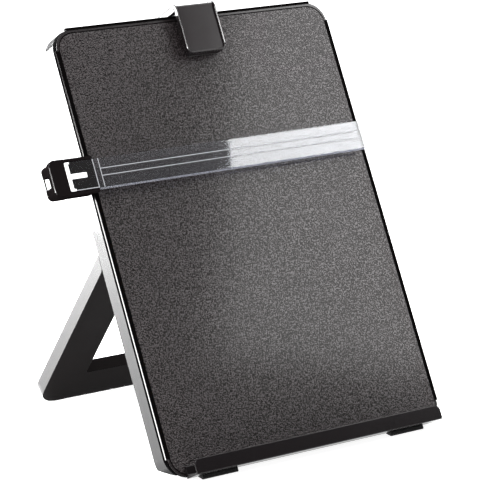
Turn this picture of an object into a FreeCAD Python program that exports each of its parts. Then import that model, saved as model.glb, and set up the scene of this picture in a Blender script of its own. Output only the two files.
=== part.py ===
import FreeCAD, Part
import math
import os
import re

import Sketcher

# Copy holder with a clear line guide, in millimetres.
# Every piece is drawn in the board's own frame: X runs to the reader's right, Y up along the board
# from its bottom edge, and Z out of the board towards the reader, with Z = 0 on the front face.
# At the end one placement leans the board back on its leg and stands the whole on the floor.

SIZES = {
    # board: a moulded front panel on a deep frame, with a guide groove between them
    "board_width": 228.0,
    "board_height": 322.0,
    "board_radius": 16.0,
    "panel_thick": 2.2,
    "panel_round": 1.0,
    "rail_proud": 1.5,
    "rail_step": 0.3,
    "side_rail_low": 14.5,
    "side_rail_high": 13.0,
    "top_rail_end": 12.0,
    "frame_inset": 0.7,
    "frame_wall": 2.4,
    "groove_open": 2.6,
    "groove_deep": 3.0,
    "frame_depth": 17.8,
    "flange_wide": 6.3,
    "flange_thick": 4.6,
    "rib_thick": 1.8,
    "rib_deep": 10.8,
    "rib_first": 60.0,
    "rib_second": 105.0,
    "rib_third": 210.0,
    "rib_fourth": 262.0,
    "floor_gap": 2.6,
    # studs that take the frame screws
    "stud_radius": 2.6,
    "stud_high": 3.2,
    "stud_hole": 1.3,
    "stud_skin": 1.2,
    "stud_side": 7.2,
    "screw_grip": 0.8,
    "screw_play": 0.3,
    "screw_head_radius": 2.6,
    "screw_head_high": 1.4,
    # paper ledge
    "ledge_width": 204.0,
    "ledge_reach": 16.0,
    "ledge_thick": 1.8,
    "ledge_drop": 1.0,
    "ledge_lip": 9.4,
    "ledge_back": 7.6,
    "ledge_round": 4.0,
    "ledge_screw_x": 66.0,
    "ledge_screw_up": 4.6,
    "ledge_screw_length": 3.4,
    "ledge_screw_radius": 1.1,
    "ledge_head_radius": 2.1,
    "ledge_head_high": 1.1,
    # front feet
    "foot_wide": 28.0,
    "foot_from_end": 10.0,
    "foot_front": 4.0,
    "foot_back": 13.0,
    "foot_drop": 4.6,
    "foot_corner": 2.2,
    # leg
    "hinge_up": 155.3,
    "leg_gap": 0.5,
    "pin_to_face": 4.0,
    "leg_angle": 67.7,
    "leg_length": 157.7,
    "leg_thick": 10.1,
    "leg_rail": 30.3,
    "leg_bar": 31.0,
    "leg_radius": 15.5,
    "leg_inner_radius": 2.0,
    "leg_skin": 2.2,
    "leg_rib": 1.8,
    "leg_solid": 16.0,
    "toe_pad_long": 60.0,
    "toe_pad_thick": 1.0,
    "toe_pad_from_end": 21.3,
    # leg hinge
    "hinge_pin_radius": 1.75,
    "pin_play": 0.05,
    "pin_in_leg": 12.0,
    "pin_head_radius": 3.0,
    "pin_head_high": 1.0,
    "lug_wide": 5.0,
    "lug_gap": 0.4,
    "bracket_thick": 2.2,
    "bracket_wide": 20.0,
    "bracket_high": 14.0,
    "bracket_screw_in": 5.5,
    "bracket_screw_up": 4.4,
    "bracket_screw_radius": 1.3,
    "bracket_screw_length": 5.0,
    "seat_thick": 3.0,
    # paper clip on the top rail
    "clip_width": 32.6,
    "clip_bottom": 290.5,
    "clip_face": 8.0,
    "clip_rim": 2.0,
    "clip_rim_wide": 1.1,
    "clip_skin": 1.5,
    "clip_top_gap": 3.5,
    "clip_back": 25.4,
    "clip_back_low": 296.0,
    "clip_toe": 2.2,
    "clip_toe_gap": 1.3,
    "clip_corner": 4.5,
    "clip_arch": 6.0,
    "clip_cheek": 3.5,
    "clip_pin_down": 5.0,
    "clip_pin_in": 3.7,
    "clip_pin_radius": 0.8,
    "saddle_width": 27.2,
    "saddle_gap": 0.3,
    "saddle_thick": 1.6,
    "saddle_hook": 4.0,
    "saddle_tongue": 2.5,
    "saddle_tail": 16.0,
    "saddle_ear_radius": 1.9,
    "saddle_ear_thick": 3.0,
    "pad_thick": 1.0,
    # line guide
    "guide_up": 214.6,
    "block_left": 33.0,
    "block_high": 25.8,
    "block_front": 9.0,
    "block_under": 4.6,
    "block_corner": 4.5,
    "block_wall": 1.6,
    "block_inner": 1.5,
    "jaw_long": 4.0,
    "strip_left": 19.0,
    "strip_short": 5.4,
    "strip_high": 20.5,
    "strip_back": 6.6,
    "strip_thick": 1.6,
    "strip_play": 0.3,
    "strip_lip": 2.2,
    "strip_lip_drop": 2.6,
    "strip_lip_thick": 1.4,
    "key_bar": 3.0,
    "key_stem": 14.0,
    "key_stem_high": 3.6,
    "key_proud": 0.1,
    "pivot_out": 17.0,
    "pivot_behind": 0.5,
    "pivot_radius": 1.0,
    "ear_radius": 2.4,
    "ear_thick": 2.5,
    "ear_inset": 2.0,
    "ear_gap": 0.3,
    "lever_back": 6.0,
    "lever_thick": 2.0,
    "lever_high": 24.0,
    "lever_out": 32.0,
    "lever_wall": 2.0,
    "lever_rise": 3.6,
    "lever_tray": 10.0,
    "lever_notch": 8.0,
    "jaw_tip": 1.1,
    "jaw_tip_gap": 0.2,
    "jaw_tip_in": 2.5,
    "spring_wire": 0.25,
    "spring_turns": 6.0,
    "spring_play": 0.15,
}

doc = FreeCAD.newDocument("copy_holder")
sheet = doc.addObject("Spreadsheet::Sheet", "dims")
for row, (alias, number) in enumerate(SIZES.items(), start=1):
    sheet.set(f"A{row}", alias)
    sheet.set(f"B{row}", str(number))
    sheet.setAlias(f"B{row}", alias)

LEG_ANGLE = math.radians(SIZES["leg_angle"])
HINGE_BEHIND = SIZES["frame_depth"] + SIZES["leg_gap"] + SIZES["pin_to_face"]
TOE_UP = (SIZES["hinge_up"] - SIZES["leg_length"] * math.cos(LEG_ANGLE)
          - SIZES["pin_to_face"] * math.sin(LEG_ANGLE))
TOE_OUT = (-HINGE_BEHIND - SIZES["leg_length"] * math.sin(LEG_ANGLE)
           + SIZES["pin_to_face"] * math.cos(LEG_ANGLE))
# The floor passes under the front feet and the leg's toe, and so sets the board's lean from upright.
LEAN = math.atan2(TOE_UP + SIZES["foot_drop"], SIZES["foot_front"] - TOE_OUT)
last_row = len(SIZES) + 1
sheet.set(f"A{last_row}", "board_lean")
sheet.set(f"B{last_row}", str(math.degrees(LEAN)))
sheet.setAlias(f"B{last_row}", "board_lean")
ALIASES = set(SIZES) | {"board_lean"}
doc.recompute()

BOARD_HALF = "board_width / 2"
FRAME_FRONT = "(panel_thick + groove_open)"
FRAME_TOP = "(board_height - frame_inset)"
HINGE_BACK = "(frame_depth + leg_gap + pin_to_face)"
BODIES = []


def linked(text):
    """An expression written with bare size names, pointed at the sheet."""
    return re.sub(r"[a-z_]+", lambda word: f"dims.{word[0]}" if word[0] in ALIASES else word[0], str(text))


def new_body(name):
    body = doc.addObject("PartDesign::Body", name)
    body.Label = name
    return body


def origin_plane(body, role):
    return next(item for item in body.Origin.OriginFeatures if item.Role == role)


def new_sketch(body, name, plane, offset):
    sketch = body.newObject("Sketcher::SketchObject", f"{name}_sketch")
    sketch.AttachmentSupport = [(origin_plane(body, plane), "")]
    sketch.MapMode = "FlatFace"
    sketch.setExpression("AttachmentOffset.Base.z", linked(offset))
    return sketch


def pin_down(sketch, geometry, point, across, up):
    """Holds a sketch point at two signed distances from the origin, both read from the sheet."""
    for kind, text in (("DistanceX", across), ("DistanceY", up)):
        index = sketch.addConstraint(Sketcher.Constraint(kind, -1, 1, geometry, point, 1.0))
        sketch.setExpression(f"Constraints[{index}]", linked(text))


def extrude(body, name, sketch, length, cut):
    feature = body.newObject("PartDesign::Pocket" if cut else "PartDesign::Pad", name)
    feature.Profile = sketch
    feature.setExpression("Length", linked(length))
    feature.Reversed = cut
    sketch.Visibility = False
    return feature


def prism(body, name, plane, corners, low, high, cut=False):
    """Pads or pockets a polygon between two levels on the axis that the plane faces."""
    offset = f"-({high})" if plane == "XZ_Plane" else low
    sketch = new_sketch(body, name, plane, offset)
    count = len(corners)
    ring = [FreeCAD.Vector(math.cos(2 * math.pi * i / count), math.sin(2 * math.pi * i / count), 0)
            for i in range(count)]
    for i in range(count):
        sketch.addGeometry(Part.LineSegment(ring[i], ring[(i + 1) % count]))
    for i in range(count):
        sketch.addConstraint(Sketcher.Constraint("Coincident", i, 2, (i + 1) % count, 1))
    for i, (across, up) in enumerate(corners):
        pin_down(sketch, i, 1, across, up)
    return extrude(body, name, sketch, f"({high}) - ({low})", cut)


def box(body, name, across, up, out, cut=False):
    """Pads or pockets a block given as three spans, along X, Y and Z."""
    corners = [(across[0], up[0]), (across[1], up[0]), (across[1], up[1]), (across[0], up[1])]
    return prism(body, name, "XY_Plane", corners, out[0], out[1], cut)


def rod(body, name, plane, centre, radius, low, high, cut=False):
    """Pads or pockets a round section between two levels."""
    offset = f"-({high})" if plane == "XZ_Plane" else low
    sketch = new_sketch(body, name, plane, offset)
    sketch.addGeometry(Part.Circle(FreeCAD.Vector(0, 0, 0), FreeCAD.Vector(0, 0, 1), 1.0))
    pin_down(sketch, 0, 3, centre[0], centre[1])
    index = sketch.addConstraint(Sketcher.Constraint("Radius", 0, 1.0))
    sketch.setExpression(f"Constraints[{index}]", linked(radius))
    return extrude(body, name, sketch, f"({high}) - ({low})", cut)


def size(text):
    """The number that an expression of size names stands for, read back from the sheet."""
    probe = doc.getObject("probe") or doc.addObject("Part::Vertex", "probe")
    probe.setExpression("X", linked(text))
    probe.recompute()
    return probe.X.Value


def straight_edges(shape, axis, **places):
    """Names of the straight edges along an axis whose middle lies at the given coordinates."""
    names = []
    for number, edge in enumerate(shape.Edges, start=1):
        if edge.Curve.TypeId != "Part::GeomLine":
            continue
        if abs(abs(getattr(edge.tangentAt(edge.FirstParameter), axis)) - 1) > 1e-6:
            continue
        middle = edge.CenterOfMass
        if all(any(abs(getattr(middle, key) - level) < 0.01 for level in levels)
               for key, levels in places.items()):
            names.append(f"Edge{number}")
    return names


def round_edges(body, name, radius, edges):
    tip = body.Tip
    feature = body.newObject("PartDesign::Fillet", name)
    feature.Base = (tip, edges)
    feature.setExpression("Radius", linked(radius))


def soften(body, name, radius, axis, **places):
    """Rounds the straight edges of the body's tip that lie along an axis at the given places."""
    doc.recompute()
    levels = {key: [size(text) for text in texts] for key, texts in places.items()}
    round_edges(body, name, radius, straight_edges(body.Tip.Shape, axis, **levels))


def finished(*nodes):
    BODIES.extend(nodes)


def side(sign, text):
    """The same distance measured to the left (-1) or right (1)."""
    return f"{sign} * ({text})"


def spans(sign, near, far):
    """A span between two distances from the middle, on the left (-1) or the right (1)."""
    return (side(sign, near), side(sign, far)) if sign > 0 else (side(sign, far), side(sign, near))


# ---------------------------------------------------------------- board

SCREW_ROWS = ("board_radius + flange_wide", "(rib_second + hinge_up) / 2",
              "board_height - board_radius - flange_wide")
SCREW_X = f"({BOARD_HALF} - stud_side)"


def frame_screw_places():
    return [(side(sign, SCREW_X), row) for sign in (-1, 1) for row in SCREW_ROWS]


def make_front_panel():
    """The textured face plate, with the guide rails along its sides and top and studs behind."""
    body = new_body("front_panel")
    half = f"({BOARD_HALF} - rail_proud)"
    top = "(board_height - rail_proud)"
    box(body, "plate", (side(-1, half), half), ("0", top), ("-panel_thick", "0"))
    corner = {"x": (side(-1, half), half), "y": ("0", top)}
    soften(body, "plate_corners", "board_radius - rail_proud", "z", **corner)
    doc.recompute()
    rim = [f"Edge{n}" for n, edge in enumerate(body.Tip.Shape.Edges, start=1)
           if all(abs(v.Z) < 0.001 for v in edge.Vertexes)]
    round_edges(body, "face_round", "panel_round", rim)
    root = "(panel_round + rail_proud)"
    level = ("-panel_thick", "-rail_step")
    length = ("side_rail_low", "board_height - side_rail_high")
    for sign, word in ((-1, "left"), (1, "right")):
        box(body, f"rail_{word}", spans(sign, f"{BOARD_HALF} - {root}", BOARD_HALF), length, level)
    reach = f"({BOARD_HALF} - top_rail_end)"
    box(body, "rail_top", (side(-1, reach), reach), (f"board_height - {root}", "board_height"), level)
    for number, centre in enumerate(frame_screw_places()):
        rod(body, f"stud_{number}", "XY_Plane", centre, "stud_radius",
            "-panel_thick - stud_high", "-panel_thick / 2")
        rod(body, f"stud_hole_{number}", "XY_Plane", centre, "stud_hole",
            "-panel_thick - stud_high", "-stud_skin", cut=True)
    for sign, word in ((-1, "left"), (0, "middle"), (1, "right")):
        rod(body, f"ledge_hole_{word}", "XY_Plane", (side(sign, "ledge_screw_x"), "ledge_screw_up"),
            "ledge_screw_radius + pin_play", "-panel_thick", "0", cut=True)
    finished(body)


def floor_line(out, clear="0"):
    """Height along the board of a line parallel to the floor, a clear distance above it."""
    rise = f"(({clear}) - (({out}) - foot_front) * sin(board_lean)) / cos(board_lean)"
    return f"({rise} - foot_drop)"


def frame_block(name, inset, front, back):
    """A rounded block set in from the frame's outline."""
    body = new_body(name)
    half = f"({BOARD_HALF} - frame_inset - ({inset}))"
    low = f"(frame_inset + ({inset}))"
    high = f"(board_height - frame_inset - ({inset}))"
    box(body, f"{name}_block", (side(-1, half), half), (low, high), (f"-({back})", f"-({front})"))
    soften(body, f"{name}_corners", f"board_radius - frame_inset - ({inset})", "z",
           x=(side(-1, half), half), y=(low, high))
    return body


def below_bevel(clear, front):
    """Corners of the region beneath a line that runs parallel to the floor, behind a level."""
    back = "(-frame_depth - 2)"
    return [(floor_line(back, clear), back), (floor_line(front, clear), front),
            ("-board_radius", front), ("-board_radius", back)]


def make_back_frame():
    """The deep skirt behind the panel, its screw flange, cross ribs and hinge seats."""
    skirt = frame_block("skirt", "0", FRAME_FRONT, "frame_depth")
    hollow = frame_block("hollow", "frame_wall", "panel_thick + flange_thick", "frame_depth + 1")
    reach = f"({BOARD_HALF})"
    prism(hollow, "hollow_bevel", "YZ_Plane", below_bevel("floor_gap + frame_wall", "0"),
          side(-1, reach), reach, cut=True)
    shell = doc.addObject("Part::Cut", "shell")
    shell.Base = skirt
    shell.Tool = hollow
    flange = frame_block("flange", "groove_deep", "panel_thick", "panel_thick + flange_thick")
    window = frame_block("window", "groove_deep + flange_wide", "0", "frame_depth + 1")
    prism(window, "window_bevel", "YZ_Plane", below_bevel("floor_gap + frame_wall", "0"),
          side(-1, reach), reach, cut=True)

    ribs = new_body("ribs")
    wide = f"({BOARD_HALF} - frame_inset - frame_wall / 2)"
    narrow = f"({BOARD_HALF} - frame_inset - groove_deep - flange_wide / 2)"
    shoulder = "(-panel_thick - flange_thick + frame_wall / 3)"
    beam_back = "-frame_depth + bracket_thick"
    beam = (("beam_low", "hinge_up - bracket_high / 2 - rib_thick", beam_back),
            ("beam_high", "hinge_up + bracket_high / 2", beam_back),
            ("rib_first", "rib_first", "-panel_thick - rib_deep"),
            ("rib_second", "rib_second", "-panel_thick - rib_deep"),
            ("rib_third", "rib_third", "-panel_thick - rib_deep"),
            ("rib_fourth", "rib_fourth", "-panel_thick - rib_deep"))
    for name, up, back in beam:
        height = (up, f"{up} + rib_thick")
        box(ribs, f"cross_{name}", (side(-1, wide), wide), height, (back, shoulder))
        box(ribs, f"crest_{name}", (side(-1, narrow), narrow), height, (f"{shoulder} - 1", "-panel_thick"))
    for sign, word in ((-1, "left"), (1, "right")):
        box(ribs, f"seat_{word}", spans(sign, f"{LUG_NEAR} - bracket_wide", f"{BOARD_HALF} - frame_wall"),
            ("hinge_up - bracket_high / 2 - rib_thick / 2", "hinge_up + bracket_high / 2 + rib_thick / 2"),
            (beam_back, f"{beam_back} + seat_thick"))
        for number, centre in enumerate(bracket_screw_places(sign)):
            rod(ribs, f"seat_hole_{word}_{number}", "XY_Plane", centre,
                "bracket_screw_radius + pin_play", beam_back, f"{beam_back} + seat_thick", cut=True)

    ring = doc.addObject("Part::Fuse", "ring")
    ring.Base = shell
    ring.Tool = flange
    open_ring = doc.addObject("Part::Cut", "open_ring")
    open_ring.Base = ring
    open_ring.Tool = window
    ribbed = doc.addObject("Part::Fuse", "ribbed")
    ribbed.Base = open_ring
    ribbed.Tool = ribs
    ribbed.Refine = True
    relief = new_body("relief")
    prism(relief, "foot_bevel", "YZ_Plane", below_bevel("floor_gap", f"(-{FRAME_FRONT} + 1)"),
          side(-1, reach), reach)
    rear = "(-panel_thick - flange_thick)"
    for number, centre in enumerate(frame_screw_places()):
        rod(relief, f"stud_pocket_{number}", "XY_Plane", centre, "stud_radius + screw_play",
            f"{rear} + screw_grip", "-panel_thick")
        rod(relief, f"screw_hole_{number}", "XY_Plane", centre, "stud_hole + screw_play",
            rear, f"{rear} + 2 * screw_grip")
    frame = doc.addObject("Part::Cut", "back_frame")
    frame.Base = ribbed
    frame.Tool = relief
    frame.Label = "back_frame"
    finished(frame)


# ---------------------------------------------------------------- ledge and feet

def make_ledge():
    """The J-shaped shelf that the sheets stand in."""
    body = new_body("paper_ledge")
    reach = "(ledge_width / 2)"
    corners = [("-ledge_drop", "0"), ("-ledge_drop", "ledge_reach"), ("ledge_lip", "ledge_reach"),
               ("ledge_lip", "ledge_reach - ledge_thick"),
               ("ledge_thick - ledge_drop", "ledge_reach - ledge_thick"),
               ("ledge_thick - ledge_drop", "ledge_thick"), ("ledge_back", "ledge_thick"),
               ("ledge_back", "0")]
    prism(body, "ledge_section", "YZ_Plane", corners, side(-1, reach), reach)
    soften(body, "lip_ends", "ledge_round", "z", x=(side(-1, reach), reach), y=("ledge_lip",))
    soften(body, "lip_foot", "ledge_thick / 2", "x", y=("-ledge_drop",), z=("ledge_reach",))
    for sign, word in ((-1, "left"), (0, "middle"), (1, "right")):
        rod(body, f"hole_{word}", "XY_Plane", (side(sign, "ledge_screw_x"), "ledge_screw_up"),
            "ledge_screw_radius + pin_play", "0", "ledge_thick", cut=True)
    finished(body)


def make_foot(sign, word):
    """A rubber foot under the ledge and frame, its sole on the floor."""
    body = new_body(f"front_foot_{word}")
    back = "(-foot_back)"
    heel = f"(-{FRAME_FRONT})"
    corners = [("-foot_drop", "foot_front"), ("-ledge_drop", "foot_front"), ("-ledge_drop", "0"),
               ("0", "0"), ("0", "-panel_thick"), (floor_line(heel, "floor_gap"), heel),
               (floor_line(back, "floor_gap"), back), (floor_line(back), back)]
    far = "(ledge_width / 2 - foot_from_end)"
    low, high = spans(sign, f"{far} - foot_wide", far)
    prism(body, "sole", "YZ_Plane", corners, low, high)
    doc.recompute()
    sole = [f"Edge{n}" for n, edge in enumerate(body.Tip.Shape.Edges, start=1)
            if edge.BoundBox.XLength < 0.001
            and abs(edge.tangentAt(0).y + edge.tangentAt(0).z * math.tan(LEAN)) < 0.001
            and edge.CenterOfMass.y < edge.CenterOfMass.z * -math.tan(LEAN)]
    round_edges(body, "sole_corners", "foot_corner", sole)
    finished(body)


# ---------------------------------------------------------------- leg and its hinge

LEG_HALF = f"({BOARD_HALF} - frame_inset)"
LUG_NEAR = f"({LEG_HALF} - leg_rail - lug_gap)"


def bracket_screw_places(sign):
    across = side(sign, f"{LUG_NEAR} - bracket_wide + bracket_screw_in")
    return [(across, "hinge_up - bracket_screw_up"), (across, "hinge_up + bracket_screw_up")]


def make_leg():
    """The U-shaped leg, drawn round its hinge axis: Y runs up the leg and Z out of its front."""
    body = new_body("leg_frame")
    back = "(pin_to_face - leg_thick)"
    crown = "(pin_to_face / sin(leg_angle))"
    tangent = "cos(leg_angle) / sin(leg_angle)"
    profile = [("-leg_length", "pin_to_face"), (f"{crown} - pin_to_face * {tangent}", "pin_to_face"),
               (f"{crown} - {back} * {tangent}", back), ("-leg_length", back)]
    prism(body, "leg_slab", "YZ_Plane", profile, side(-1, LEG_HALF), LEG_HALF)
    soften(body, "leg_toes", "leg_radius", "z", x=(side(-1, LEG_HALF), LEG_HALF), y=("-leg_length",))
    soften(body, "knuckle", "pin_to_face", "x",
           y=(f"{crown} - pin_to_face * {tangent}",), z=("pin_to_face",))
    inner = f"({LEG_HALF} - leg_rail)"
    bar = "(leg_bar - leg_length)"
    box(body, "leg_window", (side(-1, inner), inner), (bar, "leg_length"),
        (f"{back} - 1", "pin_to_face + 1"), cut=True)
    soften(body, "window_corners", "leg_inner_radius", "z", x=(side(-1, inner), inner), y=(bar,))
    floor = (f"{back}", "pin_to_face - leg_skin")
    top = "(-leg_solid)"
    cell = f"(({top} - {bar} - leg_rib) / 2)"
    for sign, word in ((-1, "left"), (1, "right")):
        across = spans(sign, f"{inner} + leg_skin", f"{LEG_HALF} - leg_skin")
        for number in range(2):
            start = f"({bar} + leg_rib + {number} * ({cell} + leg_rib / 2))"
            box(body, f"rail_cell_{word}_{number}", across, (start, f"{start} + {cell} - leg_rib / 2"),
                floor, cut=True)
    pitch = f"((2 * {inner} + leg_rib) / 4)"
    for number in range(4):
        start = f"(-{inner} + {number} * {pitch})"
        box(body, f"bar_cell_{number}", (start, f"{start} + {pitch} - leg_rib"),
            ("leg_skin - leg_length", f"{bar} - leg_skin"), floor, cut=True)
    for sign, word in ((-1, "left"), (1, "right")):
        low, high = spans(sign, inner, f"{inner} + pin_in_leg + 1")
        rod(body, f"pin_bore_{word}", "YZ_Plane", ("0", "0"), "hinge_pin_radius + pin_play",
            low, high, cut=True)
        low, high = spans(sign, f"{LEG_HALF} - toe_pad_from_end - toe_pad_long",
                          f"{LEG_HALF} - toe_pad_from_end")
        box(body, f"toe_slot_{word}", (low, high), ("-leg_length", "toe_pad_thick - leg_length"),
            ("pin_to_face - leg_skin", "pin_to_face"), cut=True)
    return body


def make_toe_pads():
    """Two rubber strips let into the leg's toe, where it meets the floor."""
    pads = []
    for sign, word in ((-1, "left"), (1, "right")):
        body = new_body(f"toe_pad_{word}")
        low, high = spans(sign, f"{LEG_HALF} - toe_pad_from_end - toe_pad_long",
                          f"{LEG_HALF} - toe_pad_from_end")
        box(body, "toe_strip", (low, high), ("-leg_length", "toe_pad_thick - leg_length"),
            ("pin_to_face - leg_skin", "pin_to_face"))
        pads.append(body)
    return pads


def make_bracket(sign, word):
    """A screwed bracket whose lug carries the leg's hinge pin."""
    body = new_body(f"hinge_bracket_{word}")
    plate = ("-frame_depth", "bracket_thick - frame_depth")
    high = ("hinge_up - bracket_high / 2", "hinge_up + bracket_high / 2")
    box(body, "base", spans(sign, f"{LUG_NEAR} - bracket_wide", LUG_NEAR), high, plate)
    low, far = spans(sign, f"{LUG_NEAR} - lug_wide", LUG_NEAR)
    root = "(bracket_thick / 2 - frame_depth)"
    corners = [("hinge_up - bracket_high / 2", root), ("hinge_up + bracket_high / 2", root),
               ("hinge_up + pin_to_face", f"-{HINGE_BACK}"), ("hinge_up", f"-{HINGE_BACK} - pin_to_face / 2"),
               ("hinge_up - pin_to_face", f"-{HINGE_BACK}")]
    prism(body, "lug", "YZ_Plane", corners, low, far)
    rod(body, "lug_eye", "YZ_Plane", ("hinge_up", f"-{HINGE_BACK}"), "pin_to_face", low, far)
    rod(body, "lug_bore", "YZ_Plane", ("hinge_up", f"-{HINGE_BACK}"), "hinge_pin_radius + pin_play / 2",
        low, far, cut=True)
    for number, centre in enumerate(bracket_screw_places(sign)):
        rod(body, f"screw_hole_{number}", "XY_Plane", centre, "bracket_screw_radius + pin_play",
            plate[0], plate[1], cut=True)
    finished(body)


def make_hinge_pin(sign, word):
    """A headed pin through the lug and into the leg."""
    body = new_body(f"leg_pin_{word}")
    centre = ("hinge_up", f"-{HINGE_BACK}")
    low, high = spans(sign, f"{LUG_NEAR} - lug_wide", f"{LUG_NEAR} + lug_gap + pin_in_leg")
    rod(body, "shank", "YZ_Plane", centre, "hinge_pin_radius", low, high)
    low, high = spans(sign, f"{LUG_NEAR} - lug_wide - pin_head_high", f"{LUG_NEAR} - lug_wide")
    rod(body, "head", "YZ_Plane", centre, "pin_head_radius", low, high)
    finished(body)


# ---------------------------------------------------------------- paper clip

CLIP_HALF = "(clip_width / 2)"
CLIP_TOP = "(board_height + clip_top_gap + clip_skin)"
CLIP_PIN = ("(board_height - clip_pin_down)", "(clip_pin_in - clip_back)")


def make_clip_jaw():
    """The rimmed front jaw, which runs over the top edge and ends in a finger plate behind."""
    body = new_body("clip_jaw")
    crest = f"({CLIP_TOP} + clip_rim)"
    front = "(clip_face + clip_rim)"
    inside = "(clip_face - clip_skin)"
    ceiling = f"({CLIP_TOP} - clip_skin)"
    corners = [("clip_bottom", "clip_toe_gap"), ("clip_bottom", front), (crest, front),
               (crest, "-clip_back"), ("clip_back_low", "-clip_back"),
               ("clip_back_low", "clip_skin - clip_back"), (ceiling, "clip_skin - clip_back"),
               (ceiling, inside), ("clip_bottom + clip_toe", inside),
               ("clip_bottom + clip_toe", "clip_toe_gap")]
    prism(body, "jaw_section", "YZ_Plane", corners, side(-1, CLIP_HALF), CLIP_HALF)
    soften(body, "arch_front", "clip_arch", "x", y=(crest,), z=(front,))
    soften(body, "arch_back", "clip_arch / 2", "x", y=(crest,), z=("-clip_back",))
    soften(body, "arch_inner", "clip_arch / 3", "x", y=(ceiling,), z=(inside,))
    soften(body, "jaw_corners", "clip_corner", "z", x=(side(-1, CLIP_HALF), CLIP_HALF),
           y=("clip_bottom",))
    soften(body, "finger_corners", "clip_corner", "z", x=(side(-1, CLIP_HALF), CLIP_HALF),
           y=("clip_back_low",))
    recess = f"({CLIP_HALF} - clip_rim_wide)"
    layer = [("clip_bottom - 1", "clip_face"), ("clip_bottom - 1", f"{front} + 1"),
             (f"{crest} + 1", f"{front} + 1"), (f"{crest} + 1", "-clip_back - 1"),
             (CLIP_TOP, "-clip_back - 1"), (CLIP_TOP, "clip_face")]
    prism(body, "recess", "YZ_Plane", layer, side(-1, recess), recess, cut=True)
    soften(body, "recess_arch", "clip_arch - clip_rim", "x", y=(CLIP_TOP,), z=("clip_face",))
    for sign, word in ((-1, "left"), (1, "right")):
        low, high = spans(sign, "saddle_width / 2 + saddle_gap", CLIP_HALF)
        cheek = [(f"{CLIP_PIN[0]} - clip_cheek", f"{CLIP_PIN[1]} + clip_cheek / 1.5"),
                 (f"{ceiling} + clip_skin / 2", f"{CLIP_PIN[1]} + clip_cheek / 1.5"),
                 (f"{ceiling} + clip_skin / 2", "clip_skin / 2 - clip_back"),
                 (f"{CLIP_PIN[0]} - clip_cheek", "clip_skin / 2 - clip_back")]
        prism(body, f"cheek_{word}", "YZ_Plane", cheek, low, high)
        rod(body, f"cheek_bore_{word}", "YZ_Plane", CLIP_PIN, "clip_pin_radius + pin_play", low, high,
            cut=True)
    finished(body)


def make_clip_pad():
    """The rubber strip under the jaw's toe."""
    body = new_body("clip_grip_pad")
    reach = f"({CLIP_HALF} - clip_corner)"
    box(body, "strip", (side(-1, reach), reach), ("clip_bottom + 0.1", "clip_bottom + clip_toe - 0.1"),
        ("clip_toe_gap - pad_thick", "clip_toe_gap"))
    finished(body)


def make_clip_saddle():
    """The runner that grips the frame's top wall and slides along the top rail."""
    body = new_body("clip_saddle")
    reach = "(saddle_width / 2)"
    over_rail = "(board_height + saddle_gap)"
    over_frame = f"({FRAME_TOP} + saddle_gap)"
    crown = f"({over_rail} + saddle_thick)"
    hook_low = "(board_height - saddle_hook)"
    tongue_low = f"({FRAME_TOP} - saddle_tongue)"
    tongue_front = "(-panel_thick - saddle_gap)"
    tongue_back = f"(-{FRAME_FRONT} + saddle_gap)"
    back = "(-frame_depth - saddle_gap)"
    under_wall = f"({FRAME_TOP} - frame_wall - saddle_gap)"
    tail = "(board_height - saddle_tail)"
    corners = [(hook_low, "saddle_gap"), (hook_low, "saddle_gap + saddle_thick"),
               (crown, "saddle_gap + saddle_thick"), (crown, f"{back} - saddle_thick"),
               (tail, f"{back} - saddle_thick"), (tail, back), (f"{under_wall} - saddle_thick", back),
               (f"{under_wall} - saddle_thick", f"{back} + saddle_hook"),
               (under_wall, f"{back} + saddle_hook"), (under_wall, back), (over_frame, back),
               (over_frame, tongue_back), (tongue_low, tongue_back), (tongue_low, tongue_front),
               (over_rail, tongue_front), (over_rail, "saddle_gap")]
    prism(body, "saddle_section", "YZ_Plane", corners, side(-1, reach), reach)
    for sign, word in ((-1, "left"), (1, "right")):
        low, high = spans(sign, f"{reach} - saddle_ear_thick", reach)
        ear = [(f"{CLIP_PIN[0]} - saddle_ear_radius", CLIP_PIN[1]),
               (f"{CLIP_PIN[0]} - saddle_ear_radius", f"{back} - saddle_thick / 2"),
               (f"{CLIP_PIN[0]} + saddle_ear_radius", f"{back} - saddle_thick / 2"),
               (f"{CLIP_PIN[0]} + saddle_ear_radius", CLIP_PIN[1])]
        prism(body, f"ear_{word}", "YZ_Plane", ear, low, high)
        rod(body, f"ear_eye_{word}", "YZ_Plane", CLIP_PIN, "saddle_ear_radius", low, high)
        rod(body, f"ear_bore_{word}", "YZ_Plane", CLIP_PIN, "clip_pin_radius + pin_play / 2", low, high,
            cut=True)
    finished(body)


def make_clip_pin():
    body = new_body("clip_pin")
    rod(body, "clip_rod", "YZ_Plane", CLIP_PIN, "clip_pin_radius", side(-1, f"{CLIP_HALF} - 0.2"),
        f"{CLIP_HALF} - 0.2")
    finished(body)


# ---------------------------------------------------------------- line guide

BLOCK_LEFT = f"(-{BOARD_HALF} - block_left)"
BLOCK_RIGHT = f"(-{BOARD_HALF} + block_inner)"
STRIP_LEFT = f"(-{BOARD_HALF} - strip_left)"
PIVOT = f"(-{BOARD_HALF} - pivot_out)"
BLOCK_LOW = "(guide_up - block_high / 2)"
BLOCK_TOP = "(guide_up + block_high / 2)"
STRIP_LOW = "(guide_up - strip_high / 2)"
STRIP_TOP = "(guide_up + strip_high / 2)"
EAR_SPANS = ((f"{BLOCK_LOW} + ear_inset", f"{BLOCK_LOW} + ear_inset + ear_thick"),
             (f"{BLOCK_TOP} - ear_inset - ear_thick", f"{BLOCK_TOP} - ear_inset"))


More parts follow.
